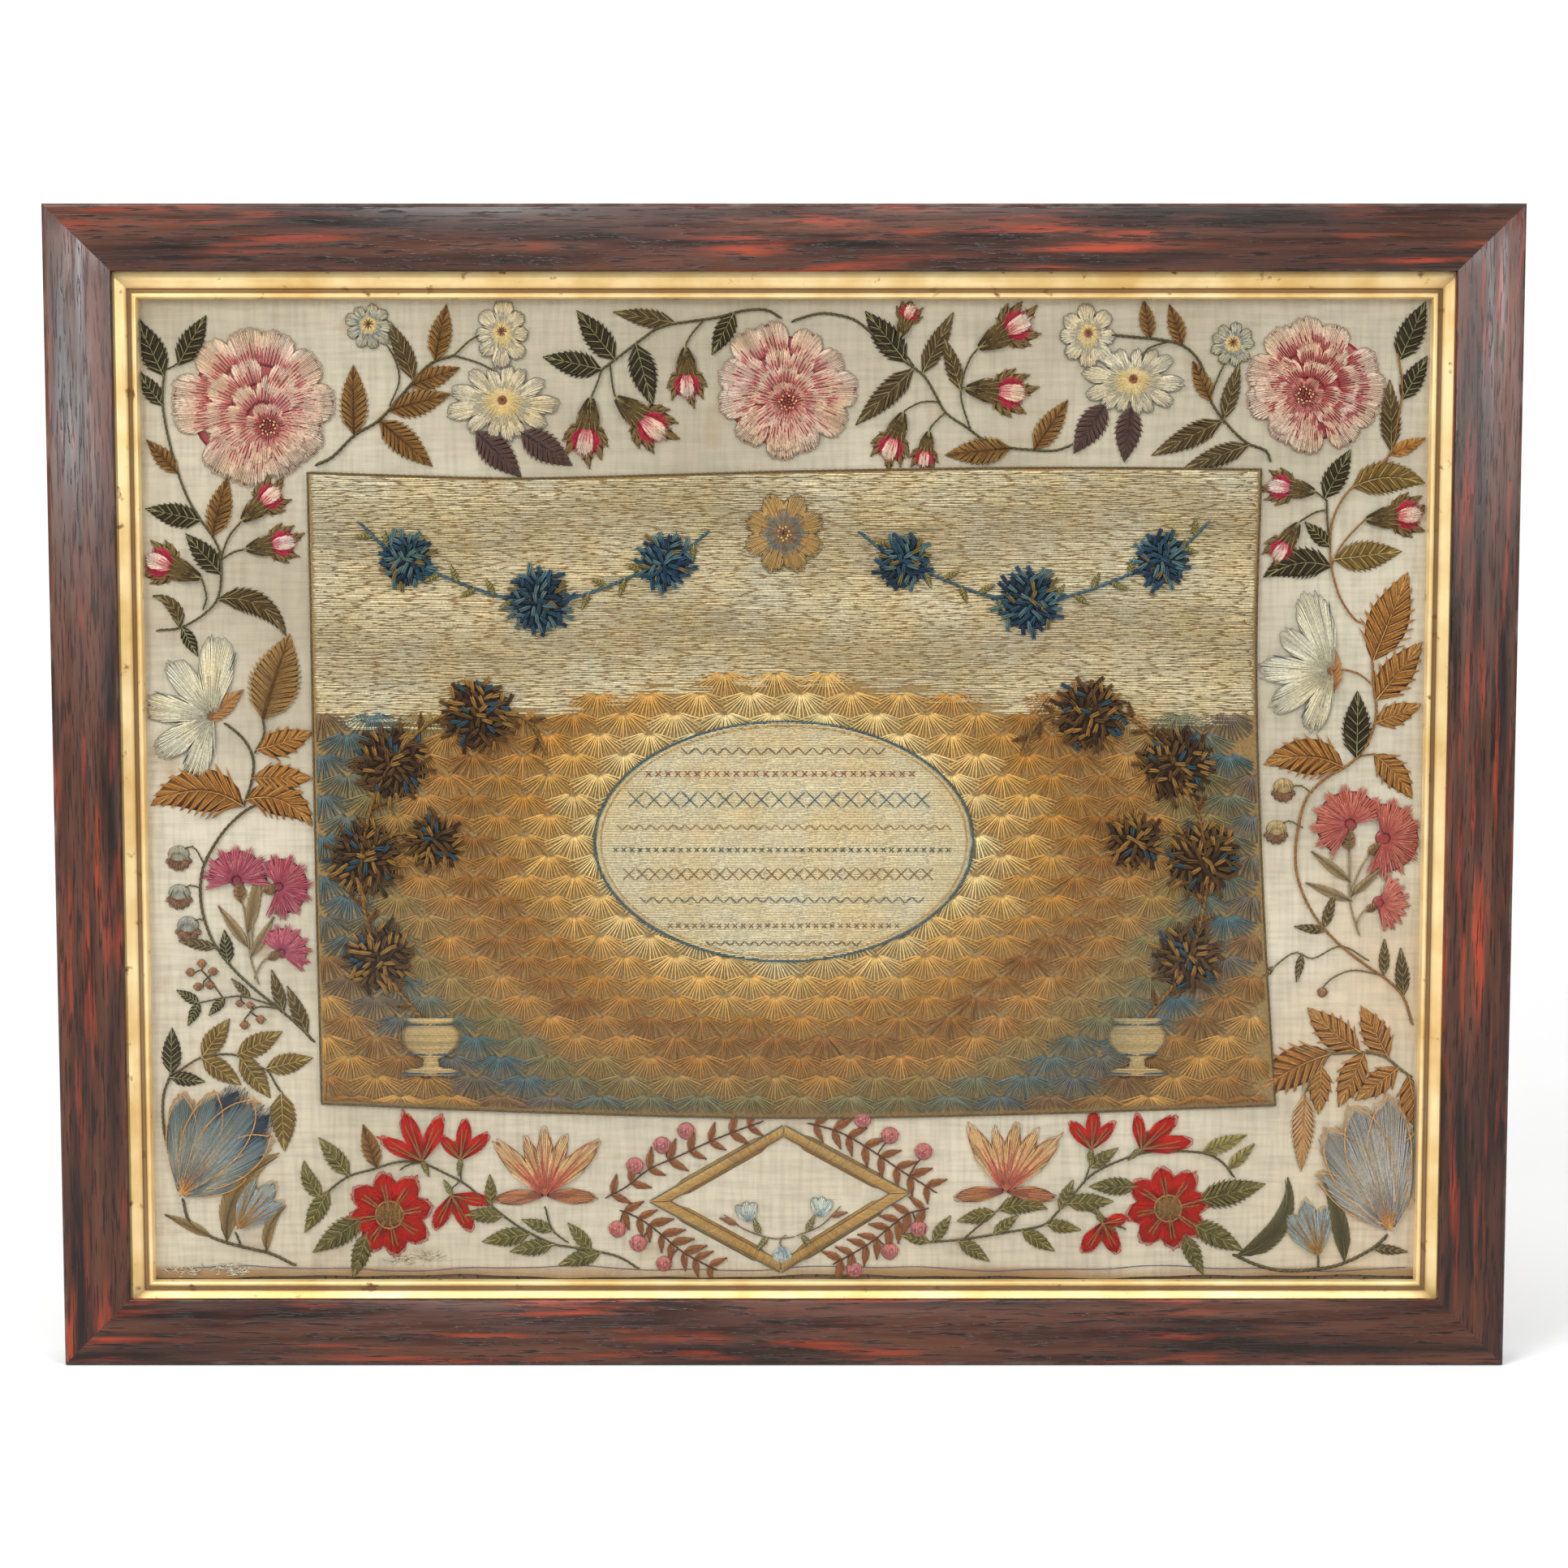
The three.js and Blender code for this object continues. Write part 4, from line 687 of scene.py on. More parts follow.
carnations = {
    "carnations_left": {
        "fans": [(-676, -110, 46, -12, 198), (-624, -118, 44, -115, 130), (-622, -200, 38, -45, 150)],
        "stems": [[(-676, -112), (-668, -150), (-661, -207), (-652, -239)],
                  [(-624, -120), (-650, -126), (-657, -160), (-661, -207)],
                  [(-624, -198), (-645, -210), (-657, -232)]],
        "leaves": [(-663, -195, 125, 66), (-661, -207, 60, 60), (-664, -176, 78, 84)],
        "calyxes": [(-672, -138, 96, 30), (-644, -124, 14, 24), (-640, -208, 24, 22)],
    },
    "carnations_right": {
        "fans": [(698, -40, 51, 10, 245), (741, -58, 54, -115, 105), (736, -138, 40, -80, 70)],
        "stems": [[(697, -42), (699, -90), (701, -140), (712, -178)], [(741, -58), (716, -90), (702, -124)],
                  [(736, -138), (716, -150), (708, -168)]],
        "leaves": [(700, -112, 142, 62), (702, -136, 158, 62), (702, -130, 43, 56)],
        "calyxes": [(698, -74, 92, 32), (722, -78, 40, 24), (720, -148, 26, 20)],
    },
}
for name, plan in carnations.items():
    bag = newBag()
    for stem in plan["stems"]:
        cord(bag, stem, 1.3, linear(150, 128, 84), 0.9)
    for values in plan["leaves"]:
        leaf(bag, "blade", *values)
    for values in plan["fans"]:
        fringe(bag, carnationTints[name], *values)
    for x, z, turn, length in plan["calyxes"]:
        leaf(bag, "broad", x, z, turn, length)
    finishPiece("sewn_" + name, bag, [name], silk)

tulipLook = {
    "blue": threads((190, 172, 132), (92, 118, 132), (202, 150, 80), (70, 94, 116), fade=0.6, streaks=3,
                    rim=0.75),
    "grey": threads((196, 178, 144), (158, 156, 158), (196, 156, 98), (120, 120, 130), fade=0.6,
                    streaks=3, rim=0.65),
    "navy": threads((40, 66, 92), (30, 52, 78), (36, 56, 80), (26, 44, 66)),
}
tulips = {
    "tulip_left": {"at": (-752, -504), "kind": "blue", "rows": [
        (14, 84, 0.26), (88, 126, 0.3), (33, 134, 0.34), (70, 136, 0.32), (52, 152, 0.34)]},
    "tulip_right": {"at": (757, -548), "kind": "grey", "rows": [
        (76, 126, 0.3), (142, 114, 0.28), (92, 168, 0.32), (123, 150, 0.34), (107, 162, 0.34)]},
}


def outline(bag, x, z, turn, length, plump, tint, level, width):
    # lines up both sides of a petal, meeting at its tip
    out, side = heading(turn)
    for sign in (-1, 1):
        line = [np.array([x, z]) + length * (out * along + side * sign * wide * plump / 2)
                for along, wide in ((0.04, 0.1), (0.3, 0.72), (0.58, 1.0), (0.84, 0.72), (1.0, 0.06))]
        cord(bag, line, width, linear(*tint), level, 7.0)


for name, plan in tulips.items():
    # petals lie over each other in order; gold lines edge them and spread from the foot, and on the left
    # one dark blue shows between the tips
    bag = newBag()
    x, z = plan["at"]
    if plan["kind"] == "blue":
        for turn in (42, 61):
            petal(bag, x, z, turn, 156, 0.3, tulipLook["navy"], (1.2, 0.6), 1.0, 0.7, 0.1)
    for n, (turn, length, plump) in enumerate(plan["rows"]):
        rise = 1.0 + 0.22 * n
        petal(bag, x, z, turn, length, plump * 1.04, tulipLook[plan["kind"]], (1.2, 0.5), rise, 0.8, 0.1)
        outline(bag, x, z, turn, length, plump * 1.04, (210, 156, 84), rise + 0.7, 0.85)
        for spread, share in ((-5, 0.5), (0, 0.7), (5, 0.42)):
            veinOn(bag, x, z, turn + spread, length * share, (202, 148, 78), rise + 1.1, 0.6)
    finishPiece("sewn_" + name, bag, [name], silk)

lilyLook = threads((198, 104, 78), (226, 196, 142), (170, 116, 70), (196, 84, 78), fade=0.7, streaks=2)
rustPetal = threads((150, 84, 50), (192, 128, 80), (150, 92, 56), (128, 62, 40))
lilies = {
    "lily_left": {"at": (-298, -504), "rows": [
        (-4, 66, 0.3), (186, 66, 0.3), (133, 94, 0.28), (45, 98, 0.28), (109, 78, 0.26), (71, 82, 0.26),
        (90, 86, 0.26)]},
    "lily_right": {"at": (276, -499), "rows": [
        (-8, 66, 0.3), (188, 66, 0.3), (119, 96, 0.28), (45, 98, 0.28), (63, 88, 0.26), (99, 80, 0.26),
        (81, 88, 0.26)]},
}
for name, plan in lilies.items():
    bag = newBag()
    petalsAt(bag, *plan["at"], plan["rows"][:2], rustPetal, 1.2, 1.6)
    petalsAt(bag, *plan["at"], plan["rows"][2:], lilyLook, 1.5, 1.8, (176, 92, 62))
    finishPiece("sewn_" + name, bag, [name], silk)

redLook = threads((150, 20, 5), (214, 30, 9), (186, 20, 8), (110, 10, 6), rim=0.5)
redCore = {"line": (160, 110, 66), "disc": (132, 100, 56), "ring": (182, 142, 84)}


def redFlower(name, x, z, reach, leaves):
    # Eight wool petals, each with a brown bar, round a tan disc inside a gold ring.
    bag = newBag()
    for values in leaves:
        leaf(bag, "olive", *values)
    count = 8
    angle, size = oval(reach, reach)
    domes(bag, (x, z), (angle, size * 0.6), ((1, 0.0), (0.9, 0.8), (0.4, 1.5)),
          linear(*redLook["root"]) * 0.8)
    for n in range(count):
        way = 360 * n / count + 10
        petal(bag, x, z, way, reach * (1.0 + 0.05 * (n % 2)), 0.6, redLook, (1.3, 0.5), 0.5, 1.1, 0.14)
        for spread in (-4, 4):
            veinOn(bag, x, z, way + spread, reach * 0.72, redCore["line"], 2.3, 1.2)
    t = np.linspace(-0.94, 0.94, 17)
    rim = reach * 0.3 * np.sqrt(1 - t**2)
    disc = varied(linear(*redCore["disc"]), len(t), 0.16)
    sew(bag, np.stack([x + t * reach * 0.3, z - rim], 1), np.stack([x + t * reach * 0.3, z + rim], 1), 1.1,
        (1.9, 1.9), 0.6, (disc, disc * 1.15))
    ring = np.array([x, z]) + reach * 0.32 * rays(np.linspace(0, 2 * np.pi, 13))
    cord(bag, ring, 1.2, linear(*redCore["ring"]), 2.1, 5.0)
    finishPiece("sewn_" + name, bag, [name], wool)


redFlower("red_flower_left", -492, -529, 54, [(-524, -532, -145, 80), (-520, -552, -108, 62)])
redFlower("red_flower_right", 479, -521, 53, [
    (440, -494, 180, 60), (516, -512, 14, 88), (508, -540, -28, 76), (500, -556, -64, 56)])
print("flowers sewn")


# Sprays of leaves and buds

sprays = {
    "spray_left_top": {
        "stems": [
            [1.5, [-755, 515], [-758, 471], [-747, 412], [-731, 363], [-714, 333], [-697, 308], [-690, 284],
            [-696, 234], [-736, 203], [-770, 198]],
            [1.3, [-690, 286], [-680, 312], [-664, 331]], [1.3, [-690, 284], [-674, 294], [-660, 297]],
            [1.2, [-714, 262], [-708, 238], [-713, 224]]],
        "leaves": [
            ["dark", -755, 508, 115, 78], ["dark", -757, 472, 126, 52], ["dark", -738, 520, 60, 70],
            ["bronze", -745, 387, 133, 56], ["dark", -714, 333, 168, 70], ["bronze", -696, 314, 75, 76],
            ["dark", -697, 266, 131, 66], ["slim", -694, 236, 14, 104, -84], ["slim", -742, 205, 82, 58, 95],
            ["dark", -738, 203, -63, 40]],
        "buds": [[-714, 262, 160, 76], [-664, 331, 40, 66], [-660, 297, 9, 66]],
    },
    "spray_top_left": {
        "stems": [
            [1.9, [-572, 400], [-552, 409], [-524, 436], [-494, 454], [-461, 490], [-431, 522], [-402, 532]],
            [1.2, [-402, 532], [-380, 552], [-362, 558]], [1.2, [-402, 532], [-372, 523], [-351, 512]],
            [1.1, [-481, 472], [-469, 500], [-473, 525], [-484, 545]]],
        "leaves": [
            ["bronze", -524, 437, 90, 86], ["bronze", -494, 454, -41, 86], ["bronze", -484, 464, 15, 80],
            ["bronze", -456, 494, 20, 66], ["slim", -452, 500, 107, 82, 14], ["bronze", -424, 528, 78, 70]],
    },
    "spray_top_middle_left": {
        "stems": [
            [1.6, [-222, 515], [-199, 532], [-174, 551], [-149, 567], [-115, 573], [-80, 578], [-50, 586],
            [-21, 587], [-4, 577]],
            [1.2, [-222, 515], [-229, 495], [-235, 482]], [1.2, [-212, 522], [-209, 495], [-206, 482]],
            [1.2, [-97, 575], [-113, 557], [-120, 543]]],
        "leaves": [
            ["dark", -207, 526, 128, 76], ["dark", -222, 515, 168, 74], ["dark", -179, 546, -75, 78],
            ["slim", -130, 571, 170, 78], ["dark", -60, 580, -118, 58]],
        "buds": [[-235, 482, -98, 76], [-206, 482, -39, 82], [-120, 543, -88, 66]],
    },
    "spray_top_middle_right": {
        "stems": [
            [1.6, [10, 573], [24, 578], [48, 583], [78, 578], [95, 569], [123, 544], [147, 525], [170, 508],
            [184, 486], [197, 463], [222, 446], [247, 428], [272, 421], [302, 418], [331, 417], [352, 424]],
            [1.2, [157, 520], [144, 540], [140, 553]],
            [1.2, [227, 444], [216, 479], [218, 505], [227, 529], [236, 540]],
            [1.2, [197, 463], [182, 449], [177, 441]], [1.1, [190, 476], [168, 476], [148, 466]]],
        "leaves": [
            ["dark", 146, 520, 129, 80], ["slim", 155, 508, -136, 100], ["slim", 172, 516, 63, 84],
            ["slim", 216, 490, 108, 68], ["bronze", 306, 424, 56, 74], ["bronze", 276, 421, 186, 82]],
        "buds": [
            [140, 553, 68, 46], [236, 540, 30, 78], [220, 492, -5, 80], [146, 464, -110, 66],
            [177, 441, -100, 48]],
    },
    "spray_top_right": {
        "stems": [
            [1.7, [398, 557], [429, 554], [459, 551], [486, 544], [506, 525], [517, 495], [521, 476],
            [539, 451], [564, 427], [589, 417], [594, 404]],
            [1.2, [436, 530], [444, 541], [469, 549]], [1.2, [521, 485], [530, 508], [536, 520]]],
        "leaves": [
            ["bronze", 447, 554, 100, 48], ["bronze", 486, 544, 108, 52], ["bronze", 517, 474, 115, 54],
            ["slim", 539, 455, 75, 72], ["slim", 534, 453, 206, 98], ["slim", 568, 425, 200, 88]],
    },
    "spray_right_upper": {
        "stems": [
            [1.4, [748, 534], [754, 491], [749, 456], [740, 412], [714, 390], [685, 361], [671, 330],
            [669, 300], [671, 274], [681, 240], [697, 215], [707, 207]],
            [1.3, [664, 356], [665, 330], [669, 300]], [1.2, [671, 277], [681, 299], [696, 318], [711, 333]],
            [1.2, [664, 356], [657, 362], [650, 367]], [1.2, [665, 345], [650, 342], [630, 330]]],
        "leaves": [
            ["dark", 750, 528, 66, 78], ["dark", 751, 480, 60, 62], ["slim", 741, 417, 92, 88],
            ["gold", 742, 412, 25, 48], ["gilded", 694, 371, 28, 92, -50], ["dark", 664, 362, 62, 68],
            ["dark", 668, 301, 136, 44], ["gilded", 674, 283, 7, 84], ["dark", 663, 274, 160, 88, 58]],
        "tan": [0, 2],
        "buds": [[711, 333, 6, 74], [650, 367, 172, 62], [630, 330, -122, 58]],
    },
    "spray_right_middle": {
        "stems": [
            [1.7, [723, 160], [725, 130], [729, 95], [719, 60], [699, 35], [668, 16], [645, -8], [635, -45],
            [632, -85], [639, -120], [659, -158], [688, -190], [724, -218], [744, -231], [768, -255],
            [780, -290]],
            [1.2, [699, 36], [712, 44], [727, 46]], [1.2, [725, 130], [708, 144], [694, 149], [685, 150]],
            [1.1, [724, -210], [690, -192], [655, -208], [632, -200], [596, -228]],
            [1.1, [744, -229], [706, -222], [680, -232], [668, -244]],
            [1, [640, -45], [622, -36], [608, -48]], [1, [650, -2], [636, 8], [618, 2]]],
        "leaves": [
            ["rust", 720, 160, 69, 118], ["rust", 727, 110, 52, 92], ["rust", 730, 82, 22, 62],
            ["dark", 704, 42, 90, 84], ["rust", 690, 32, 150, 104, 56], ["rust", 727, 46, -38, 74, -22],
            ["slim", 672, -166, 74, 46], ["slim", 672, -170, 172, 40], ["slim", 745, -229, 90, 46],
            ["slim", 772, -252, 94, 62], ["slim", 640, -204, -100, 36], ["slim", 610, -218, -140, 32]],
        "tan": [0, 1, 2],
        "berries": [[608, -50, 13], [616, 2, 13], [668, -250, 7]],
    },
    "spray_right_lower": {
        "stems": [
            [1.8, [640, -322], [680, -326], [721, -325], [746, -330], [766, -346], [780, -356]],
            [1.2, [680, -326], [660, -352], [648, -376]]],
        "leaves": [
            ["rust", 716, -323, 148, 88, -16], ["rust", 754, -330, 118, 76],
            ["rust", 680, -326, 196, 112, 26], ["rust", 722, -327, -114, 76], ["rust", 762, -344, -142, 68],
            ["rust", 668, -340, -92, 62], ["rust", 776, -356, -78, 76], ["faded", 648, -376, -92, 100]],
    },
    "spray_tulip_right": {
        "stems": [
            [2.1, [562, -580], [588, -592], [618, -600], [654, -600], [695, -593], [735, -573], [754, -556]],
            [1.4, [668, -598], [668, -582]]],
        "leaves": [
            ["crescent", 566, -584, 12, 132, 92], ["crescent", 700, -592, 92, 108, 26],
            ["slim", 738, -572, -6, 44]],
        "extra": [("tulip", 667, -580, [[82, 62, 0.4], [104, 72, 0.4], [128, 68, 0.4]])],
    },
    "spray_tulip_left": {
        "stems": [
            [1.8, [-750, -510], [-743, -538], [-715, -558]],
            [2, [-715, -558], [-697, -565], [-666, -573], [-641, -579], [-611, -594]],
            [1.4, [-678, -571], [-685, -552]]],
        "leaves": [
            ["blade", -697, -564, 95, 142, -72], ["blade", -646, -577, 98, 68, -62],
            ["blade", -715, -558, 150, 66, 8]],
        "extra": [("tulip", -682, -546, [[30, 66, 0.34], [50, 76, 0.38], [72, 68, 0.34]])],
    },
    "spray_left_lower": {
        "stems": [
            [1.7, [-762, -352], [-772, -379], [-773, -415], [-768, -446]],
            [1.4, [-762, -352], [-750, -347], [-723, -331], [-682, -328], [-658, -343], [-643, -346],
            [-633, -364], [-625, -376]]],
        "leaves": [
            ["dark", -761, -352, 88, 58], ["dark", -760, -355, -8, 44], ["gilded", -722, -330, 54, 60],
            ["gilded", -722, -333, -36, 60], ["gilded", -681, -328, 28, 64], ["gilded", -677, -332, -55, 64],
            ["gilded", -642, -346, 13, 60], ["gilded", -624, -374, -88, 74]],
    },
    "spray_left_sprigs": {
        "stems": [
            [1.8, [-627, -3], [-648, -15], [-666, -25], [-688, -45], [-706, -70], [-719, -97], [-722, -131],
            [-717, -161], [-706, -189], [-686, -217], [-661, -242], [-631, -267], [-601, -293], [-584, -312]],
            [1.1, [-631, -267], [-671, -255], [-696, -257], [-726, -263]],
            [1.1, [-696, -257], [-712, -234], [-722, -222]], [1.1, [-628, -270], [-654, -268], [-670, -284]],
            [1, [-717, -90], [-730, -68], [-748, -76]], [1, [-721, -120], [-735, -116], [-746, -124]],
            [1, [-717, -160], [-726, -158], [-734, -164]]],
        "leaves": [
            ["slim", -703, -194, 170, 48], ["dark", -690, -212, 96, 42], ["dark", -726, -263, 150, 32],
            ["dark", -726, -263, -116, 32], ["dark", -692, -258, -132, 30], ["slim", -660, -254, 134, 34],
            ["slim", -620, -276, 105, 56], ["slim", -592, -301, 112, 66]],
        "berries": [
            [-748, -82, 14], [-748, -130, 14], [-738, -170, 14], [-722, -214, 6], [-736, -225, 6],
            [-708, -224, 6], [-727, -243, 6], [-712, -241, 6], [-676, -264, 5], [-663, -266, 5],
            [-670, -291, 6], [-650, -284, 6]],
    },
    "spray_left_middle": {
        "stems": [
            [1.7, [-688, 84], [-666, 65], [-654, 40], [-657, 10], [-667, -18]],
            [1.4, [-642, 92], [-640, 70], [-652, 48]]],
        "leaves": [
            ["broad", -642, 90, 72, 112], ["rust", -652, 52, 12, 74, 12], ["rust", -652, 14, 0, 74],
            ["rust", -670, -16, 142, 124, 76], ["rust", -655, -14, 20, 96, -84]],
    },
    "spray_bottom_left": {
        "stems": [
            [1.5, [-568, -499], [-543, -481], [-512, -472], [-482, -463], [-452, -464], [-421, -478],
            [-396, -492], [-371, -514], [-331, -545], [-290, -566], [-270, -570], [-229, -577], [-204, -584],
            [-182, -598]],
            [1.2, [-478, -472], [-468, -466], [-456, -464]], [1.2, [-298, -520], [-290, -548], [-270, -565]],
            [1.1, [-403, -470], [-403, -486]], [1.1, [-416, -498], [-404, -487]]],
        "leaves": [
            ["slim", -576, -508, 140, 54, -50], ["slim", -568, -499, -120, 62], ["slim", -541, -480, 128, 62],
            ["bronze", -508, -470, 107, 58], ["slim", -366, -516, 92, 40], ["slim", -350, -532, 178, 52],
            ["slim", -318, -552, 190, 62], ["slim", -286, -567, 190, 56], ["slim", -288, -551, 160, 42],
            ["dark", -240, -574, 130, 46], ["dark", -230, -577, 197, 56]],
        "extra": [
            ("red", -451, -461, [[66, 62, 0.34], [111, 66, 0.34], [152, 60, 0.32]]),
            ("red", -403, -459, [[42, 48, 0.36], [82, 52, 0.36], [131, 38, 0.4]]),
            ("red", -414, -505, [[-118, 50, 0.38], [-62, 52, 0.4], [-10, 50, 0.34]])],
    },
    "spray_bottom_right": {
        "stems": [
            [1.5, [182, -564], [222, -561], [278, -552], [324, -543], [339, -529], [359, -507], [384, -479],
            [424, -459], [459, -450], [520, -451], [546, -463], [561, -482]],
            [1.2, [276, -515], [263, -528], [242, -545], [224, -561]],
            [1.1, [384, -450], [382, -466], [374, -490]],
            [1.1, [420, -546], [396, -532], [372, -520], [352, -516]],
            [1.1, [426, -548], [410, -538], [396, -532]], [1.2, [390, -512], [370, -510], [352, -516]]],
        "leaves": [
            ["slim", 262, -526, 193, 50], ["slim", 266, -524, 25, 64, -48], ["dark", 184, -562, 56, 40],
            ["dark", 182, -564, 166, 38], ["dark", 218, -561, -35, 48], ["dark", 298, -549, -33, 50],
            ["slim", 262, -556, 38, 40], ["dark", 328, -542, -10, 44], ["slim", 344, -524, 66, 42],
            ["dark", 352, -514, 2, 60], ["slim", 384, -470, 35, 44], ["sage", 520, -451, 22, 60],
            ["sage", 556, -472, 45, 46]],
        "extra": [
            ("red", 383, -446, [[50, 44, 0.36], [86, 50, 0.36], [128, 44, 0.4]]),
            ("red", 445, -446, [[8, 66, 0.34], [43, 60, 0.36], [97, 44, 0.36]]),
            ("red", 398, -540, [[-122, 46, 0.46], [-64, 44, 0.46], [12, 32, 0.5]])],
    },
}


sprayLook = {
    "stem": {"dark": (66, 54, 38), "light": (110, 100, 64), "tan": (150, 106, 58)},
    "slots": {"spray_right_middle": "rust_silk", "spray_right_lower": "rust_silk",
              "spray_left_middle": "rust_silk", "spray_bottom_left": "olive_silk",
              "spray_bottom_right": "olive_silk"},
    "paleStems": ("spray_right_middle", "spray_right_lower"),
    "oliveLeaves": ("spray_bottom_left", "spray_bottom_right"),
    "seatReach": 12,        # threads from a stem within which a leaf is moved onto it
    "onIt": 1.5,            # threads within which no stalk is needed
    "bellSize": 10,         # a berry wider than this is a bell with a frill
}
budLook = {
    "calyx": threads((84, 66, 38), (112, 92, 52), (134, 84, 50), (66, 52, 34), rim=0.5),
    "side": threads((150, 24, 52), (186, 48, 74), (170, 34, 60), (140, 20, 44)),
    "petal": threads((214, 150, 150), (236, 222, 208), (206, 130, 130), (196, 90, 100), streaks=3),
    "line": (150, 138, 92),
}
tulipBudLook = threads((132, 142, 148), (168, 176, 178), (190, 150, 84), (176, 146, 92))
bellLook = {"cap": (150, 148, 138), "faded": (168, 148, 108),
            "petals": threads((120, 86, 64), (158, 122, 98), (104, 80, 62), (104, 72, 54))}


def onStem(routes, x, z):
    # the nearest place on the stems, if it is close enough to grow from
    line = np.concatenate([alongRoute(route, 4.0) for route in routes])
    away = np.hypot(line[:, 0] - x, line[:, 1] - z)
    near = away.argmin()
    return (line[near, 0], line[near, 1]) if away[near] < sprayLook["seatReach"] else (x, z)


def stalk(bag, routes, x, z, turn, tint):
    # a thin line from the nearest stem to something that grows beside it
    line = np.concatenate([alongRoute(route, 4.0) for route in routes])
    away = np.hypot(line[:, 0] - x, line[:, 1] - z)
    start = line[away.argmin()]
    if away.min() > sprayLook["onIt"]:
        cord(bag, [start, (start + (x, z)) / 2, (x, z) + 6 * heading(turn)[0]], 1.0, tint, 0.7, 6.0)


def bud(bag, x, z, turn, length):
    # A striped calyx, crimson and white petals out of its mouth and frilled tips that stand away.
    out, _ = heading(turn)
    mouth = np.array([x, z]) + 0.5 * length * out
    for spread, reach in ((-66, 0.5), (-38, 0.62), (38, 0.62), (66, 0.5)):
        leaf(bag, "frill", *(mouth - 0.06 * length * out), turn + spread, length * reach, -spread * 0.5)
    for spread in (-26, 26):
        petal(bag, *mouth, turn + spread, length * 0.42, 0.66, budLook["side"], (1.4, 0.6), 0.7, 0.8, 0.2)
    petal(bag, *mouth, turn, length * 0.46, 0.6, budLook["petal"], (1.6, 1.0), 0.9, 0.7, 0.2)
    petal(bag, x, z, turn, length * 0.64, 0.58, budLook["calyx"], (0.8, 1.0), 1.3, 0.5, 0.12)
    for spread in (-15, -5, 5, 15):
        veinOn(bag, x, z, turn + spread, length * 0.58, budLook["line"], 2.1, 0.55)
    leaf(bag, "frill", *(mouth + 0.1 * length * out), turn + 6, length * 0.56, 14)


def bell(bag, x, z, size, tint):
    # a padded cap of upright stitches over a ragged brown frill
    cap = linear(*tint)
    for way in range(200, 350, 28):
        petal(bag, x, z, way, size * 1.25, 0.5, bellLook["petals"], (0.9, 0.4), 0.4, 1.0, 0.12)
    angle, reach = oval(size, size * 0.8, 12)
    domes(bag, (x, z + size * 0.3), (angle, reach), ((1, 0.2), (0.75, 1.4), (0.4, 1.9)), cap)
    t = np.linspace(-0.9, 0.9, 9)[:, None]
    foot = np.hstack([x + t * size, z - size * 0.25 + 0 * t])
    head = np.hstack([x + t * size * 0.4, z + size * 1.1 - abs(t) * size * 0.3])
    sew(bag, foot, head, 0.8, (1.0, 0.8), 1.3, (varied(cap, 9, 0.2),) * 2)


def berry(bag, x, z, size, tint, level=1.7):
    # a padded ball under satin stitches that run across it
    angle, reach = oval(size * 0.92, size * 0.92, 12)
    domes(bag, (x, z), (angle, reach), ((1, 0.0), (0.85, level * 0.55), (0.5, level * 0.9)),
          linear(*tint) * 0.8)
    t = np.linspace(-0.94, 0.94, max(5, round(size * 0.9)))
    rim = size * np.sqrt(1 - t**2)
    lay = 0.5 * np.array([1.0, 0.6])
    start = np.stack([x + t * size * lay[0] * 1.6, z - rim * 0.96], 1)
    end = np.stack([x + t * size * lay[0] * 2.0, z + rim * 0.96], 1)
    shades = varied(linear(*tint), len(t), 0.18)
    sew(bag, start, end, 0.9, (0.4, 0.4), level * 0.9 * np.sqrt(1 - t**2 * 0.8), (shades, shades * 1.1))


def spray(name, plan):
    bag = newBag()
    stemTint = linear(*sprayLook["stem"]["light" if name in sprayLook["paleStems"] else "dark"])
    tipTint = linear(*sprayLook["stem"]["light"])
    routes = [np.array(route[1:], float) for route in plan["stems"]]
    for n, (route, values) in enumerate(zip(routes, plan["stems"])):
        tan = n in plan.get("tan", ())
        cord(bag, route, values[0] * 1.05, linear(*sprayLook["stem"]["tan"]) if tan else stemTint, 1.0, 7.0,
             linear(*sprayLook["stem"]["tan"]) if tan else tipTint)
    for kind, x, z, turn, length, *curl in plan["leaves"]:
        x, z = onStem(routes, x, z)
        stalk(bag, routes, x, z, turn, stemTint)
        if name in sprayLook["oliveLeaves"] and kind in ("slim", "dark"):
            kind = "olive"
        leaf(bag, kind, x, z, turn, length, *curl)
    for x, z, turn, length in plan.get("buds", []):
        stalk(bag, routes, x, z, turn, stemTint)
        bud(bag, x, z, turn, length)
    for x, z, size in plan.get("berries", []):
        if size > sprayLook["bellSize"]:
            bell(bag, x, z, size, bellLook["faded" if name in sprayLook["paleStems"] else "cap"])
        else:
            stalk(bag, routes, x, z, 0, stemTint)
            berry(bag, x, z, size, (150, 108, 76))
    for kind, x, z, rows in plan.get("extra", []):
        if kind == "red":
            petalsAt(bag, x, z, rows, redLook, 1.5, 1.2, redCore["line"])
            middleTurn = rows[1][0]
            for spread in (-26, 0, 26):
                leaf(bag, "broad", x, z, middleTurn + spread, 24)
            leaf(bag, "olive", x, z, middleTurn + 180, 22)
        else:
            petalsAt(bag, x, z, rows, tulipBudLook, 1.9, 1.2, (166, 120, 66))
    finishPiece("sewn_" + name, bag, [name], crewel)


for name, plan in sprays.items():
    spray(name, plan)
print("sprays sewn")

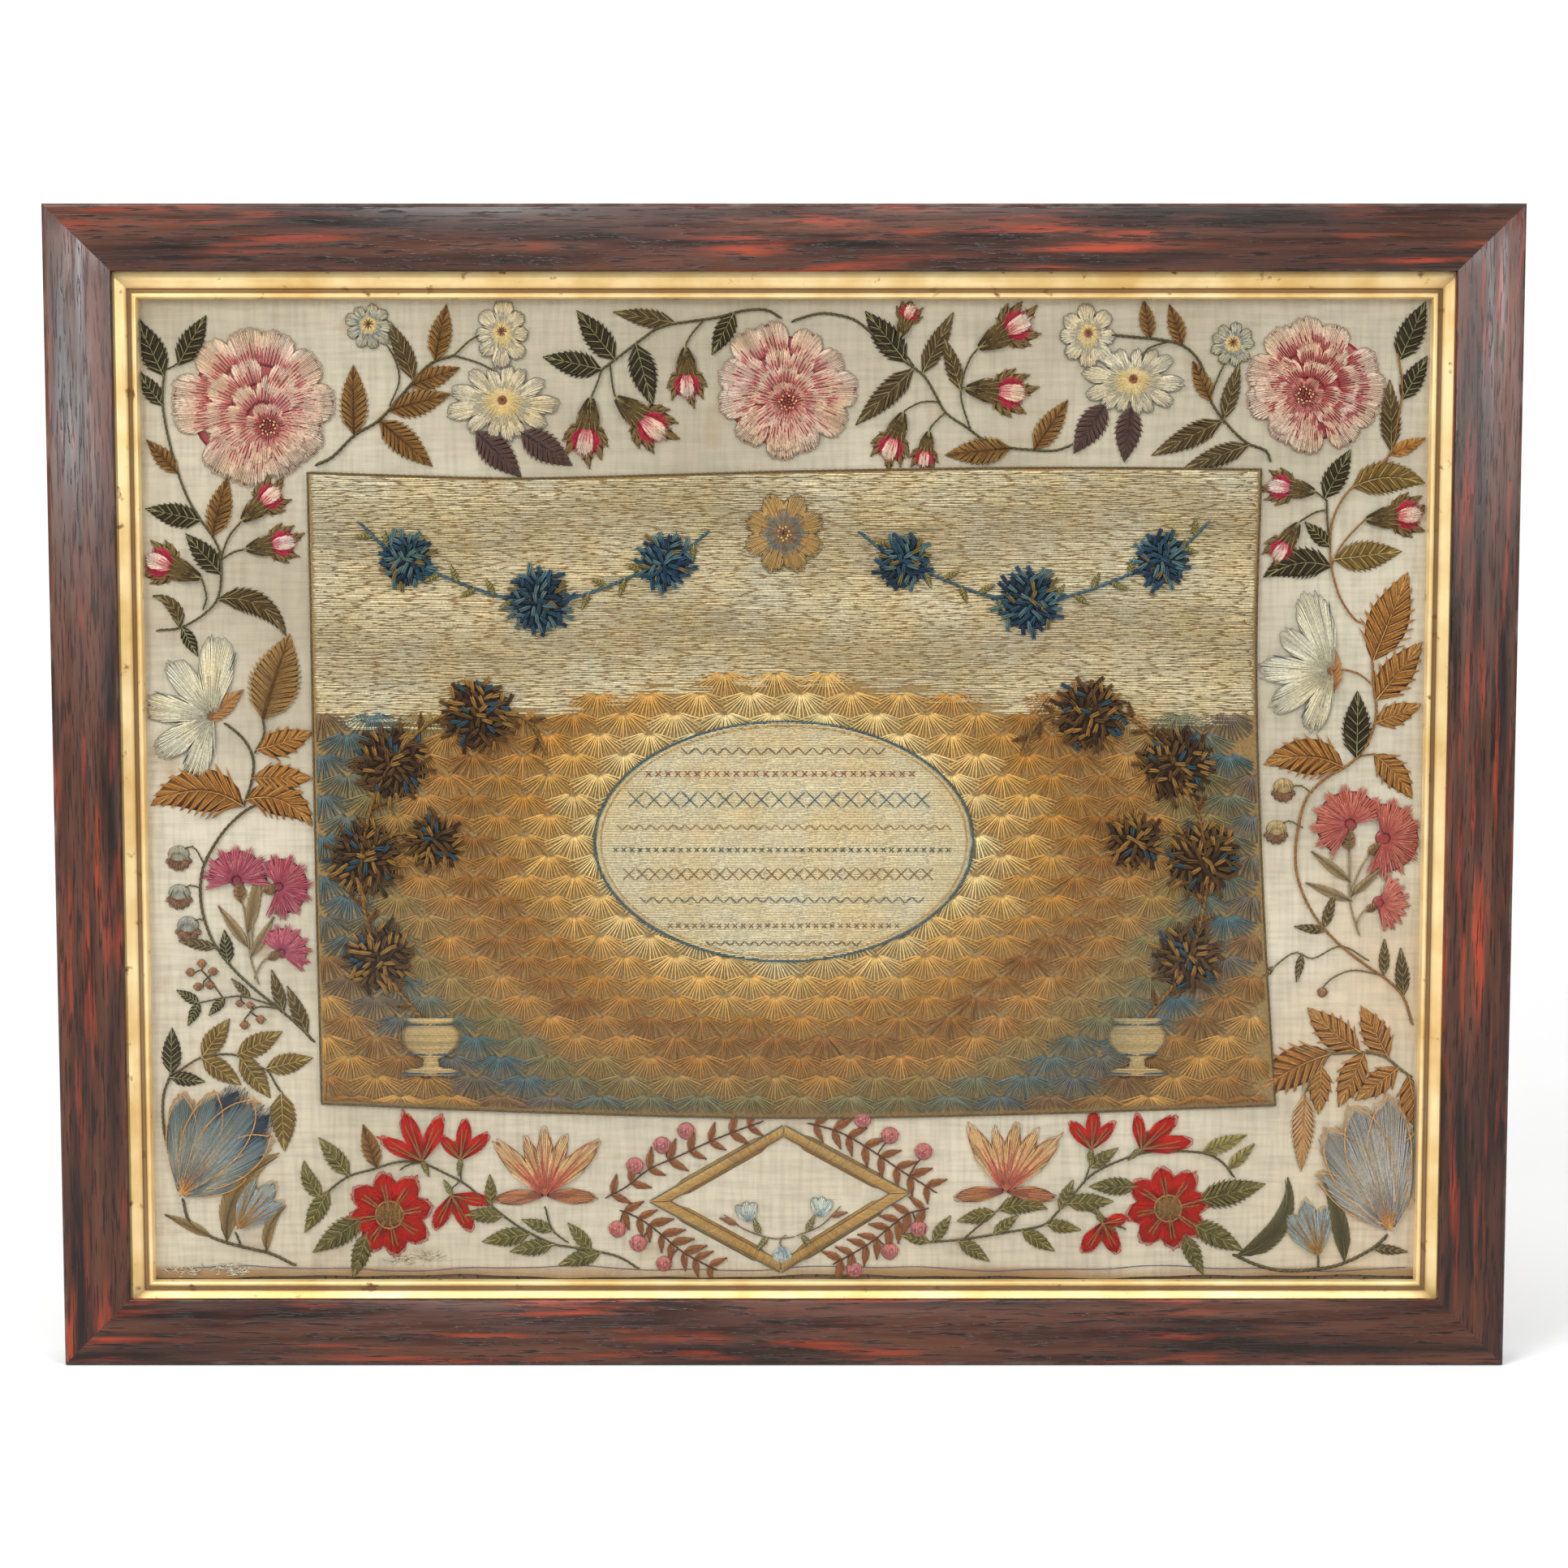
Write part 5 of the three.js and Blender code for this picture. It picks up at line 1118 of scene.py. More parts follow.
wreathPlan = {
    "upper_left": {
        "route": [(-222, -508), (-196, -494), (-168, -472), (-132, -456), (-94, -438), (-60, -424),
                  (-26, -412)],
        "blooms": [(-122, -424, 12), (-152, -442, 12), (-186, -468, 12)]},
    "upper_right": {
        "route": [(30, -414), (66, -424), (96, -440), (126, -460), (152, -478), (172, -490), (190, -502)],
        "blooms": [(98, -410, 12), (132, -430, 12), (174, -450, 12)]},
    "lower_left": {
        "route": [(-204, -524), (-178, -536), (-152, -556), (-128, -576), (-104, -590), (-84, -600)],
        "blooms": [(-208, -548, 12), (-182, -566, 12), (-150, -592, 11)]},
    "lower_right": {
        "route": [(180, -522), (156, -528), (134, -544), (110, -564), (84, -580), (62, -592)],
        "blooms": [(168, -548, 12), (132, -576, 12), (88, -600, 11)]},
}
wreathLook = {"stem": (96, 62, 42), "bloom": (188, 118, 118), "bloomEdge": (150, 70, 76), "pairs": 8}
for side, plan in wreathPlan.items():
    bag = newBag()
    line = alongRoute(plan["route"], 4.0)
    cord(bag, plan["route"], 1.2, linear(*wreathLook["stem"]), 0.8)
    run = np.gradient(line, axis=0)
    for share in (np.arange(wreathLook["pairs"]) + 0.4) / wreathLook["pairs"]:
        n = int(share * (len(line) - 1))
        course = math.degrees(math.atan2(run[n, 1], run[n, 0]))
        for turn, length in ((50, 30), (-50, 26)):
            leaf(bag, "wreath", *line[n], course + turn, length * rng.uniform(0.85, 1.1))
    for x, z, size in plan["blooms"]:
        stalk(bag, [plan["route"]], x, z, 0, linear(*wreathLook["stem"]))
        berry(bag, x, z, size, wreathLook["bloom"], 1.9)
        knots(bag, x, z, size * 0.5, 5, 0.9, 2.6, (wreathLook["bloomEdge"], (222, 180, 168)))
    finishPiece("sewn_wreath_" + side, bag, ["wreath_" + side], crewel)

lozengePlan = {
    "corners": [(-169, -513), (0, -416), (158, -502), (-4, -604)],
    "centre": (-3, -509), "inner": 0.835,
    "names": ["upper_left", "upper_right", "lower_right", "lower_left"],
    "gold": (188, 148, 82), "edge": (104, 108, 92), "inside": (140, 100, 54),
}


def lozengeBand(n):
    # satin stitches across one side, from its inner edge to its outer one
    bag = newBag()
    corners = np.array(lozengePlan["corners"], float)
    centre = np.array(lozengePlan["centre"])
    start, end = corners[n], corners[(n + 1) % 4]
    t = np.linspace(0.012, 0.988, round(np.linalg.norm(end - start) * 0.44 / 0.62))[:, None]
    outer = start + (end - start) * t
    inner = centre + (outer - centre) * lozengePlan["inner"]
    count = len(t)
    gold = varied(linear(*lozengePlan["gold"]), count, 0.14)
    sew(bag, inner, outer, 0.8, (0.4, 0.4), 0.9, (gold * 0.8, gold * 1.05))
    strands(bag, np.linspace((inner[0] + outer[0]) / 2, (inner[-1] + outer[-1]) / 2, 6)[None],
            np.full((1, 6), 10.0), np.zeros((1, 6)), np.full((1, 6), 1.0), linear(*lozengePlan["gold"]) * 0.7)
    cord(bag, [outer[0], outer[count // 2], outer[-1]], 0.9, linear(*lozengePlan["edge"]), 0.8)
    cord(bag, [inner[0], inner[count // 2], inner[-1]], 0.6, linear(*lozengePlan["inside"]), 0.6)
    if n == 2:
        lozengeSprigs(bag)
    finishPiece("sewn_lozenge_" + lozengePlan["names"][n], bag, ["lozenge_" + lozengePlan["names"][n]],
                silk)


sprigPlan = {
    "stems": [[(-74, -530), (-50, -548), (-14, -560), (12, -558)], [(70, -520), (46, -544), (16, -556)],
              [(-3, -572), (-6, -562), (2, -556)]],
    "buds": [(-44, -538, 100, 26), (44, -532, 80, 26), (-1, -570, -95, 24)],
    "leaves": [("olive", -30, -556, 110, 24), ("olive", 28, -552, 64, 24), ("wreath", -58, -542, 160, 24),
               ("wreath", 58, -532, 14, 22), ("olive", -20, -558, -130, 22), ("olive", 22, -556, -50, 22)],
    "pale": threads((150, 164, 168), (214, 220, 212), (120, 126, 116), (130, 150, 158)),
}


def lozengeSprigs(bag):
    # two pale buds and a third below them, on thin stems along the foot of the lozenge
    for route in sprigPlan["stems"]:
        cord(bag, route, 0.9, linear(112, 90, 56), 0.7)
    for values in sprigPlan["leaves"]:
        leaf(bag, *values)
    for x, z, turn, length in sprigPlan["buds"]:
        for spread in (-26, 26, 0):
            petal(bag, x, z, turn + spread, length, 0.5, sprigPlan["pale"], (1.0, 0.5), 0.6, 0.9, 0.14)


for n in range(4):
    lozengeBand(n)
print("wreath and lozenge sewn")


# Centre panel

panelPlan = {
    "top": [(-582, 390), (-460, 386), (-324, 383), (-150, 387), (34, 392), (332, 396), (583, 394)],
    "right": [(583, 394), (580, 155), (592, -126), (611, -391)],
    "bottom": [(611, -391), (300, -402), (0, -407), (-300, -400), (-575, -389)],
    "left": [(-575, -389), (-578, -126), (-580, 175), (-582, 390)],
    "longStitch": (228, 216, 186), "longShade": (196, 182, 152), "rim": (72, 60, 42),
    "rimLight": (122, 104, 70),
}
panelEdges = {side: alongRoute(panelPlan[side], 10.0) for side in ("top", "right", "bottom", "left")}


def sideX(side, z):
    # where the left or right edge of the panel lies at that height
    line = panelEdges[side]
    order = np.argsort(line[:, 1])
    return np.interp(z, line[order, 1], line[order, 0])


def levelZ(side, x):
    # how high the top or bottom edge lies at that place along it
    line = panelEdges[side]
    order = np.argsort(line[:, 0])
    return np.interp(x, line[order, 0], line[order, 1])


def scallopTop(x):
    # the lower edge of the long stitches: a row of shallow scallops on one slow wave
    return 122 + 26 * np.cos(x / 150) - 22 * np.abs(np.sin(x / 40 * np.pi / 2))


def longStitches(bag):
    # rows of long level stitches, broken at random places and kept above the scalloped edge
    rows = np.arange(70, 396, 1.75)
    starts, ends = [], []
    for z in rows:
        left, right = sideX("left", z) + 3, sideX("right", z) - 3
        steps = np.cumsum(rng.uniform(22, 60, 48)) + left - rng.uniform(0, 30)
        cut = np.clip(steps, left, right)
        cut = np.unique(np.concatenate([[left], cut, [right]]))
        drop = rng.uniform(-0.5, 0.5, len(cut) - 1)
        starts.append(np.stack([cut[:-1], z + drop], 1))
        ends.append(np.stack([cut[1:], z + drop + rng.uniform(-0.5, 0.5, len(cut) - 1)], 1))
    start, end = np.concatenate(starts), np.concatenate(ends)
    heart = (start[:, 0] + end[:, 0]) / 2
    keep = (start[:, 1] > scallopTop(heart)) & (start[:, 1] < levelZ("top", heart) - 3)
    start, end, heart = start[keep], end[keep], heart[keep]
    tint = mixed(linear(*panelPlan["longStitch"]), linear(*panelPlan["longShade"]),
                 0.5 + 0.4 * np.sin(start[:, 1] / 23 + np.sin(heart / 90)))
    tint = tint * (1 + 0.12 * rng.standard_normal((len(start), 1)))
    sew(bag, start, end, 1.0, (1.55, 1.55), 0.1, (tint, tint), 2)


fanPalette = [(228, 208, 158), (214, 174, 106), (190, 140, 70), (146, 100, 52), (186, 138, 76),
              (134, 124, 86), (84, 108, 116), (140, 100, 58), (196, 152, 86), (150, 106, 58)]


def fans(bag):
    # Rows of overlapping fans, like fish scales: each is a spread of straight stitches from its root.
    stepX, stepZ, reach, count = 62, 25, 46, 19
    centreZ, clear = -62, (236, 150)        # the oval, inside which no fan is set
    rowZ = np.arange(-398, 176, stepZ)[::-1]
    fanTint = np.array([linear(*tint) for tint in fanPalette])
    for row, z in enumerate(rowZ):
        x = np.arange(-600, 640, stepX) + (row % 2) * stepX / 2
        x = x[(x > sideX("left", z) + 6) & (x < sideX("right", z) - 6)]
        x = x[scallopTop(x) > z - 4]
        x = x[(x / clear[0]) ** 2 + ((z - centreZ) / clear[1]) ** 2 > 0.7]
        if not len(x):
            continue
        # the colours run outwards in rings, half as wide again as they are high
        ring = (np.hypot(x / 1.5, z - centreZ) - clear[1]) / 340 * (len(fanTint) - 1)
        ring = ring + rng.uniform(-0.25, 0.25, len(x))
        ring = np.clip(ring, 0, len(fanTint) - 1.01)
        lower = ring.astype(int)
        tint = mixed(fanTint[lower], fanTint[lower + 1], ring - lower)
        way = np.linspace(math.radians(200), math.radians(340), count)
        way = way[None] + rng.uniform(-0.03, 0.03, (len(x), count))
        out = rays(way) * (1, 0.86)
        root = np.stack([x, np.full(len(x), z + 22)], 1)[:, None]
        length = reach * (0.92 + 0.1 * rng.random((len(x), count, 1)))
        start = (root + out * 5).reshape(-1, 2)
        end = (root + out * length).reshape(-1, 2)
        low = np.stack([sideX("left", end[:, 1]) + 4, levelZ("bottom", end[:, 0]) + 4], 1)
        high = np.stack([sideX("right", end[:, 1]) - 4, levelZ("top", end[:, 0]) - 4], 1)
        end, start = np.clip(end, low, high), np.clip(start, low, high)
        shade = np.repeat(tint, count, 0) * (1 + 0.14 * rng.standard_normal((len(start), 1)))
        sew(bag, start, end, 1.3, (1.75, 1.45), 0.25, (shade * 1.15, shade * 0.82), 2)


def panelPlate(bag):
    # the padding under the stitches, to the panel's waved edge
    edge = np.concatenate([panelEdges[side][:-1] for side in ("top", "right", "bottom", "left")])
    level = ((1, 0.0), (0.998, 1.25), (0.6, 1.3))
    domes(bag, (0, 0), (np.arctan2(edge[:, 1], edge[:, 0]), np.hypot(*edge.T)), level, linear(150, 124, 84))


def centrePanel():
    bag = newBag()
    panelPlate(bag)
    fans(bag)
    longStitches(bag)
    for route in panelEdges.values():
        cord(bag, route, 1.7, linear(*panelPlan["rim"]), 1.35, 7.0, linear(*panelPlan["rimLight"]))
    finishPiece("sewn_ground_panel", bag, ["ground_panel"], crewel)


centrePanel()
print("centre panel sewn")

ovalPlan = {"x": 0, "z": -62, "across": 234, "up": 148, "ground": (232, 218, 184), "blue": (52, 84, 100),
            "gold": (180, 144, 82)}


def cartouche():
    # An oval of level stitches, crossed by bands of zigzags, diamonds and small crosses, in a double cord.
    bag = newBag(panelY)
    x0, z0, across, up = (ovalPlan[part] for part in ("x", "z", "across", "up"))
    angle, reach = oval(across, up, 48)
    ground = linear(*ovalPlan["ground"])
    domes(bag, (x0, z0), (angle, reach), ((1, 0.0), (0.98, 0.8), (0.5, 0.85)), ground * 0.8)
    z = np.arange(-up + 2, up - 1, 1.9)
    half = across * np.sqrt(1 - (z / up) ** 2) - 3
    parts = 9
    cut = np.linspace(-1, 1, parts + 1)[None] + rng.uniform(-0.05, 0.05, (len(z), parts + 1))
    cut[:, 0], cut[:, -1] = -1, 1
    flat = np.stack([x0 + half[:, None] * cut, np.broadcast_to(z0 + z[:, None], cut.shape)], -1)
    shade = varied(ground, len(z) * parts, 0.06)
    sew(bag, flat[:, :-1].reshape(-1, 2), flat[:, 1:].reshape(-1, 2), 1.0, (1.0, 1.0), 0.1, (shade, shade), 2)
    bands = (
        (112, "zigzag", (98, 74, 46), 9), (84, "cross", (140, 62, 48), 12),
        (52, "diamond", (52, 84, 100), 22), (18, "zigzag", (150, 112, 60), 7),
        (-10, "cross", (64, 84, 72), 10), (-40, "diamond", (132, 92, 50), 16),
        (-72, "zigzag", (70, 92, 106), 8), (-104, "cross", (120, 86, 52), 10),
        (-126, "zigzag", (98, 74, 46), 6),
    )
    for height, kind, tint, size in bands:
        wide = across * math.sqrt(1 - (height / up) ** 2) - 26
        x = np.arange(-wide, wide + 1, size)
        if kind == "cross":
            for lean in (-1, 1):
                start = np.stack([x0 + x - size * 0.32, z0 + height - lean * size * 0.32 + 0 * x], 1)
                end = np.stack([x0 + x + size * 0.32, z0 + height + lean * size * 0.32 + 0 * x], 1)
                shade = varied(linear(*tint), len(x), 0.1)
                sew(bag, start, end, 0.7, (1.35, 1.35), 0.15, (shade, shade), 2)
        else:
            for sign in ((1, -1) if kind == "diamond" else (1,)):
                tops = z0 + height + sign * size * 0.5 * (1 - 2 * (np.arange(len(x)) % 2))
                line = np.stack([x0 + x, tops], 1)
                shade = varied(linear(*tint), len(x) - 1, 0.1)
                sew(bag, line[:-1], line[1:], 0.75, (1.35, 1.35), 0.15, (shade, shade), 2)
    for share, tint, width in ((1.0, "blue", 1.5), (0.965, "gold", 1.3)):
        ring = np.array([x0, z0]) + rays(angle) * (reach * share)[:, None]
        cord(bag, np.vstack([ring, ring[:1]]), width, linear(*ovalPlan[tint]), 1.3, 6.0)
    finishPiece("sewn_cartouche", bag, ["cartouche"], silk)


cartouche()

clumpLook = {
    "scroll": [(98, 70, 38), (150, 112, 58), (70, 48, 30), (54, 78, 92)],
    "garland": [(44, 76, 98), (84, 112, 120), (34, 54, 76), (120, 104, 66)],
}


def clump(bag, x, z, size, tints):
    # Looped leaves: each is two thick stitches side by side. They are set on a sunflower spiral, point
    # outwards with a random lean and rise towards the middle over a low dark pad.
    angle, reach = oval(size * 0.8, size * 0.8, 14)
    shades = np.array([linear(*tint) for tint in tints])
    domes(bag, (x, z), (angle, reach), ((1, 0.0), (0.8, 0.3), (0.4, 1.0)), shades[2] * 0.6)
    count = round(size * 1.35)
    n = np.arange(count)
    away = size * 0.84 * np.sqrt((n + 0.5) / count)
    out = rays(goldenTurn * n)
    lean = rays(goldenTurn * n + rng.uniform(-0.8, 0.8, count))
    side = leftOf(lean)
    start = np.array([x, z]) + out * away[:, None] - lean * 6
    end = start + lean * rng.uniform(12, 19, (count, 1))
    level = 0.9 + 2.0 * (1 - away / size)
    pick = shades[rng.choice(len(shades), count, p=[0.4, 0.3, 0.2, 0.1])]
    for slip, dim in ((-1.5, 1.1), (1.5, 0.85)):
        sew(bag, start + side * slip * 0.4, end + side * slip, 1.4, (level, level - 0.5), 0.6,
            (pick * dim * 0.8, pick * dim * 1.15))


raised = {
    "scroll": {"route": [(446, -286), (500, -210), (522, -96), (490, 24), (414, 96), (322, 92), (292, 46)],
               "twigs": [[(520, -80), (484, -54), (436, -52)]], "width": 2.8, "slot": "umber_silk",
               "leaf": "bronze",
               "clumps": [(500, -206, 50), (516, -84, 54), (482, 34, 54), (376, 94, 52), (432, -62, 40)]},
    "garland": {"route": [(92, 318), (146, 282), (300, 232), (462, 284), (520, 330)], "twigs": [],
                "width": 2.0, "slot": "blue_silk", "leaf": "olive",
                "clumps": [(146, 282, 38), (300, 234, 46), (462, 284, 38)]},
}
for side, sign in (("left", -1), ("right", 1)):
    flip = np.array([sign, 1.0])
    for form, plan in raised.items():
        bag = newBag(panelY)
        tints = clumpLook[form]
        for route in [plan["route"], *plan["twigs"]]:
            cord(bag, np.array(route) * flip, plan["width"], linear(*tints[0]), 1.2, 8.0, linear(*tints[1]))
        for x, z, size in plan["clumps"]:
            clump(bag, sign * x, z, size, tints)
        line = alongRoute(np.array(plan["route"]) * flip, 24.0)
        run = np.gradient(line, axis=0)
        for n in range(1, len(line) - 1):
            course = math.degrees(math.atan2(run[n, 1], run[n, 0]))
            leaf(bag, plan["leaf"], *line[n], course + (48 if n % 2 else -48), 22)
        finishPiece(f"sewn_{form}_{side}", bag, [f"{form}_{side}"], crewel)

urnPlan = {"x": 438, "tint": (206, 180, 128), "dark": (48, 74, 94),
           "profile": [(-352, 36), (-346, 36), (-343, 12), (-332, 10), (-326, 24), (-314, 38), (-300, 40),
                       (-288, 30),
                       (-282, 34)]}
for side, sign in (("left", -1), ("right", 1)):
    # level satin stitches whose reach follows the urn's outline
    bag = newBag(panelY)
    z = np.arange(-352, -282, 1.7)
    reach = np.interp(z, *np.array(urnPlan["profile"], float).T)
    x = sign * urnPlan["x"]
    shade = varied(linear(*urnPlan["tint"]), len(z), 0.14)
    sew(bag, np.stack([x - reach, z], 1), np.stack([x + reach, z], 1), 1.05, (0.6, 0.6), 1.9,
        (shade * 0.7, shade))
    for height in (-350, -326, -288):
        wide = np.interp(height, *np.array(urnPlan["profile"], float).T)
        cord(bag, [(x - wide, height), (x, height - 1), (x + wide, height)], 1.3,
             linear(*urnPlan["dark"]), 2.5, 6.0)
    finishPiece("sewn_urn_" + side, bag, ["urn_" + side], silk)

rosetteLook = threads((150, 104, 50), (196, 160, 96), (96, 70, 42), (120, 84, 44))
bag = newBag(panelY)
for n in range(8):
    petal(bag, 0, 316, 45 * n + 22, 50, 0.6, rosetteLook, (1.6, 0.6), 0.8, 0.8, 0.14)
for n in range(8):
    petal(bag, 0, 316, 45 * n, 30, 0.62, {**rosetteLook, "tip": (86, 108, 112)}, (2.6, 1.7), 0.4, 0.9, 0.14)
knots(bag, 0, 316, 9, 16, 1.4, 3.1, ((206, 176, 112), (130, 70, 44)))
finishPiece("sewn_rosette", bag, ["rosette"], silk)
print("centre work sewn")


# Linen

linenPlan = {
    "halfX": 0.3614, "top": 0.2808, "hem": -0.2676, "columns": 140, "rows": 106, "thick": 0.0007,
    "front": -0.0089, "flat": (0.723, 0.5497), "pitch": 0.00092,
    "cream": (200, 189, 170), "grey": (162, 150, 129), "light": (202, 189, 167), "tan": (160, 124, 82),
    "rose": (206, 176, 142),
}


def hemWave(u):
    # how far the cut edge strays from level: three waves added, in metres
    return 0.0008 * np.sin(9.5 * u + 0.6) + 0.0005 * np.sin(23 * u) + 0.00025 * np.sin(61 * u)


def linenMaterial():
    # two crossed sets of soft bands are the weave; slow noise gives the slubs, the dust and the stains
    material, tree, surface = newMaterial("linen", 0.92, specular=0.15, sheen=0.2)
    tones = {part: linear(*linenPlan[part]) for part in ("cream", "grey", "light", "tan", "rose")}
    scale = 0.314 / linenPlan["pitch"]
    warp, weft = stripes(tree, "X", scale, 1.2), stripes(tree, "Z", scale, 1.2)
    slubs = noise(tree, 420, 3, (1, 1, 0.09), 0.4, 0.7)
    slubsAcross = noise(tree, 420, 3, (0.09, 1, 1), 0.4, 0.7)
    weave = calc(tree, "MULTIPLY", warp, weft)
    clouds = noise(tree, 7, 4, (1, 1, 1), 0.38, 0.66)
    base = blended(tree, clouds, tones["cream"], tones["grey"])
    upward = calc(tree, "MULTIPLY", band(tree, 2, middle + 0.02, middle + 0.26), 0.45)
    base = blended(tree, upward, base, tones["grey"])
    downward = calc(tree, "MULTIPLY", band(tree, 2, middle - 0.06, middle - 0.2), 0.55)
    base = blended(tree, downward, base, tones["light"])
    rightward = calc(tree, "MULTIPLY", band(tree, 0, 0.22, 0.34), band(tree, 2, middle + 0.0, middle - 0.1))
    stains = calc(tree, "MULTIPLY", rightward, noise(tree, 11, 4, (1, 1, 1), 0.36, 0.6))
    base = blended(tree, calc(tree, "MULTIPLY", stains, 0.6), base, tones["rose"])
    lowest = calc(tree, "MULTIPLY", band(tree, 2, middle - 0.2605, middle - 0.2645),
                  noise(tree, 24, 4, (0.3, 1, 1), 0.3, 0.55))
    base = blended(tree, lowest, base, tones["tan"])
    spots = noise(tree, 38, 5, (1, 1, 1), 0.63, 0.74)
    base = blended(tree, calc(tree, "MULTIPLY", spots, 0.5), base, tones["tan"])
    threadTone = calc(tree, "ADD", calc(tree, "MULTIPLY", slubs, 0.26),
                      calc(tree, "MULTIPLY", slubsAcross, 0.26))
    base = blended(tree, threadTone, base, tones["grey"] * 0.55)
    base = blended(tree, calc(tree, "MULTIPLY", weave, 0.3), base, tones["light"] * 1.05)
    link(tree, base, surface.inputs["Base Color"])
    relief = calc(tree, "ADD", calc(tree, "MULTIPLY", weave, 0.7), calc(tree, "MULTIPLY", slubs, 0.3))
    bumped(tree, surface, relief, 0.00022, 0.9)
    return material


def gridFaces(rows, columns):
    # four-sided faces between the points of a grid
    a = (np.arange(rows - 1)[:, None] * columns + np.arange(columns - 1)[None]).ravel()
    return np.stack([a, a + 1, a + columns + 1, a + columns], 1)


def meshFrom(name, points, faces):
    # a smooth mesh from an array of places and a list of faces
    mesh = bpy.data.meshes.new(name)
    mesh.from_pydata(points.reshape(-1, 3).tolist(), [], faces)
    mesh.polygons.foreach_set("use_smooth", np.ones(len(mesh.polygons), bool))
    return mesh


def linenCloth():
    # The cloth's front is a grid whose lower edge follows the hem's wave. It dips between the stitched
    # forms by a sum of long slow waves, and Solidify gives it its thickness behind.
    u = np.linspace(-1, 1, linenPlan["columns"])[None]
    v = np.linspace(0, 1, linenPlan["rows"])[:, None]
    x = linenPlan["halfX"] * u + 0 * v
    z = linenPlan["top"] + (linenPlan["hem"] + hemWave(u) - linenPlan["top"]) * v
    inside = ((1 - u**2) * 4 * v * (1 - v)) ** 0.4
    pucker = 0.5 + 0.5 * np.sin(x * 47 + 2.2 * np.sin(z * 31)) * np.sin(z * 53 + 1.5 * np.sin(x * 23))
    pull = 0.5 + 0.5 * np.sin(x * 210 + 3 * np.sin(z * 90)) * np.sin(z * 190)
    y = linenPlan["front"] + inside * (0.0003 * pucker + 0.00008 * pull)
    points = np.stack([x, y, z + middle], -1)
    faces = gridFaces(linenPlan["rows"], linenPlan["columns"])[:, ::-1]
    mesh = meshFrom("linen_cloth", points, faces.tolist())
    piece = newPiece("linen_cloth", mesh, linenMaterial(), ["linen"])
    thick = piece.modifiers.new("thickness", "SOLIDIFY")
    thick.thickness = linenPlan["thick"]
    thick.offset = -1.0


linenCloth()

hemPlan = {"blue": (78, 92, 118), "tan": (150, 122, 88), "white": (232, 226, 208),
           "frays": [(-742, -602, 30), (-694, -598, 22), (-478, -588, 34), (-446, -584, 20),
                     (-690, -604, 24)]}


def hemStitches():
    # a thin blue line of running stitches just above the edge, and loose ends where the cloth has frayed
    bag = newBag()
    x = np.linspace(-775, 778, 34)
    line = np.stack([x, -598 + 2.6 * np.sin(x / 61) + 1.6 * np.sin(x / 23)], 1)
    cord(bag, line, 0.55, linear(*hemPlan["blue"]), 0.35, 9.0)
    for x, z, reach in hemPlan["frays"]:
        count = 46
        way = rng.uniform(0, np.pi, count)
        start = np.stack([x + rng.normal(0, reach * 0.45, count), z + rng.normal(0, 3.0, count)], 1)
        end = start + rays(way) * (1, 0.6) * rng.uniform(4, 14, (count, 1))
        tints = mixed(linear(*hemPlan["white"]), linear(*hemPlan["tan"]), rng.random(count) ** 2)
        sew(bag, start, end, 0.4, (0.2, 0.3), 0.5, (tints, tints))
    finishPiece("hem_stitching", bag, [], silk)


hemStitches()
print("linen made")


# Frame

woodPlan = {"dark": (26, 16, 12), "mid": (76, 44, 31), "warm": (150, 54, 28), "grey": (112, 98, 88)}


def woodMaterial(name, stretch, rough):
    # grain drawn out along the rail, with red streaks in places, fine pores and paler worn edges
    material, tree, surface = newMaterial(name, rough, specular=0.28)
    tones = {part: linear(*woodPlan[part]) for part in woodPlan}
    figure = noise(tree, 110, 6, stretch, 0.36, 0.64)
    streaks = noise(tree, 210, 4, stretch, 0.52, 0.68)
    patches = noise(tree, 9, 3, (1, 1, 1), 0.42, 0.64)
    pores = noise(tree, 900, 3, stretch, 0.55, 0.63)
    base = blended(tree, figure, tones["dark"], tones["mid"])
    red = calc(tree, "MULTIPLY", calc(tree, "MULTIPLY", streaks, patches), 0.75)
    base = blended(tree, red, base, tones["warm"])
    base = blended(tree, calc(tree, "MULTIPLY", pores, 0.8), base, tones["dark"] * 0.6)
    rubbed = calc(tree, "MULTIPLY", painted(tree, "worn").outputs["Fac"],
                  noise(tree, 60, 5, (1, 1, 1), 0.5, 0.78))
    base = blended(tree, calc(tree, "MULTIPLY", rubbed, 0.7), base, tones["grey"])
    link(tree, base, surface.inputs["Base Color"])
    matt = calc(tree, "MULTIPLY", noise(tree, 220, 3, stretch, 0.3, 0.7), 0.18)
    link(tree, calc(tree, "ADD", matt, rough - 0.06), surface.inputs["Roughness"])
    bumped(tree, surface, pores, 0.00015, 0.5)
    return material


# the last of these colours is painted shade that darkens the slip's groove
giltPlan = {"gold": (255, 228, 172), "deep": (226, 184, 112), "red": (150, 96, 58), "grooveShade": (122, 80, 36)}


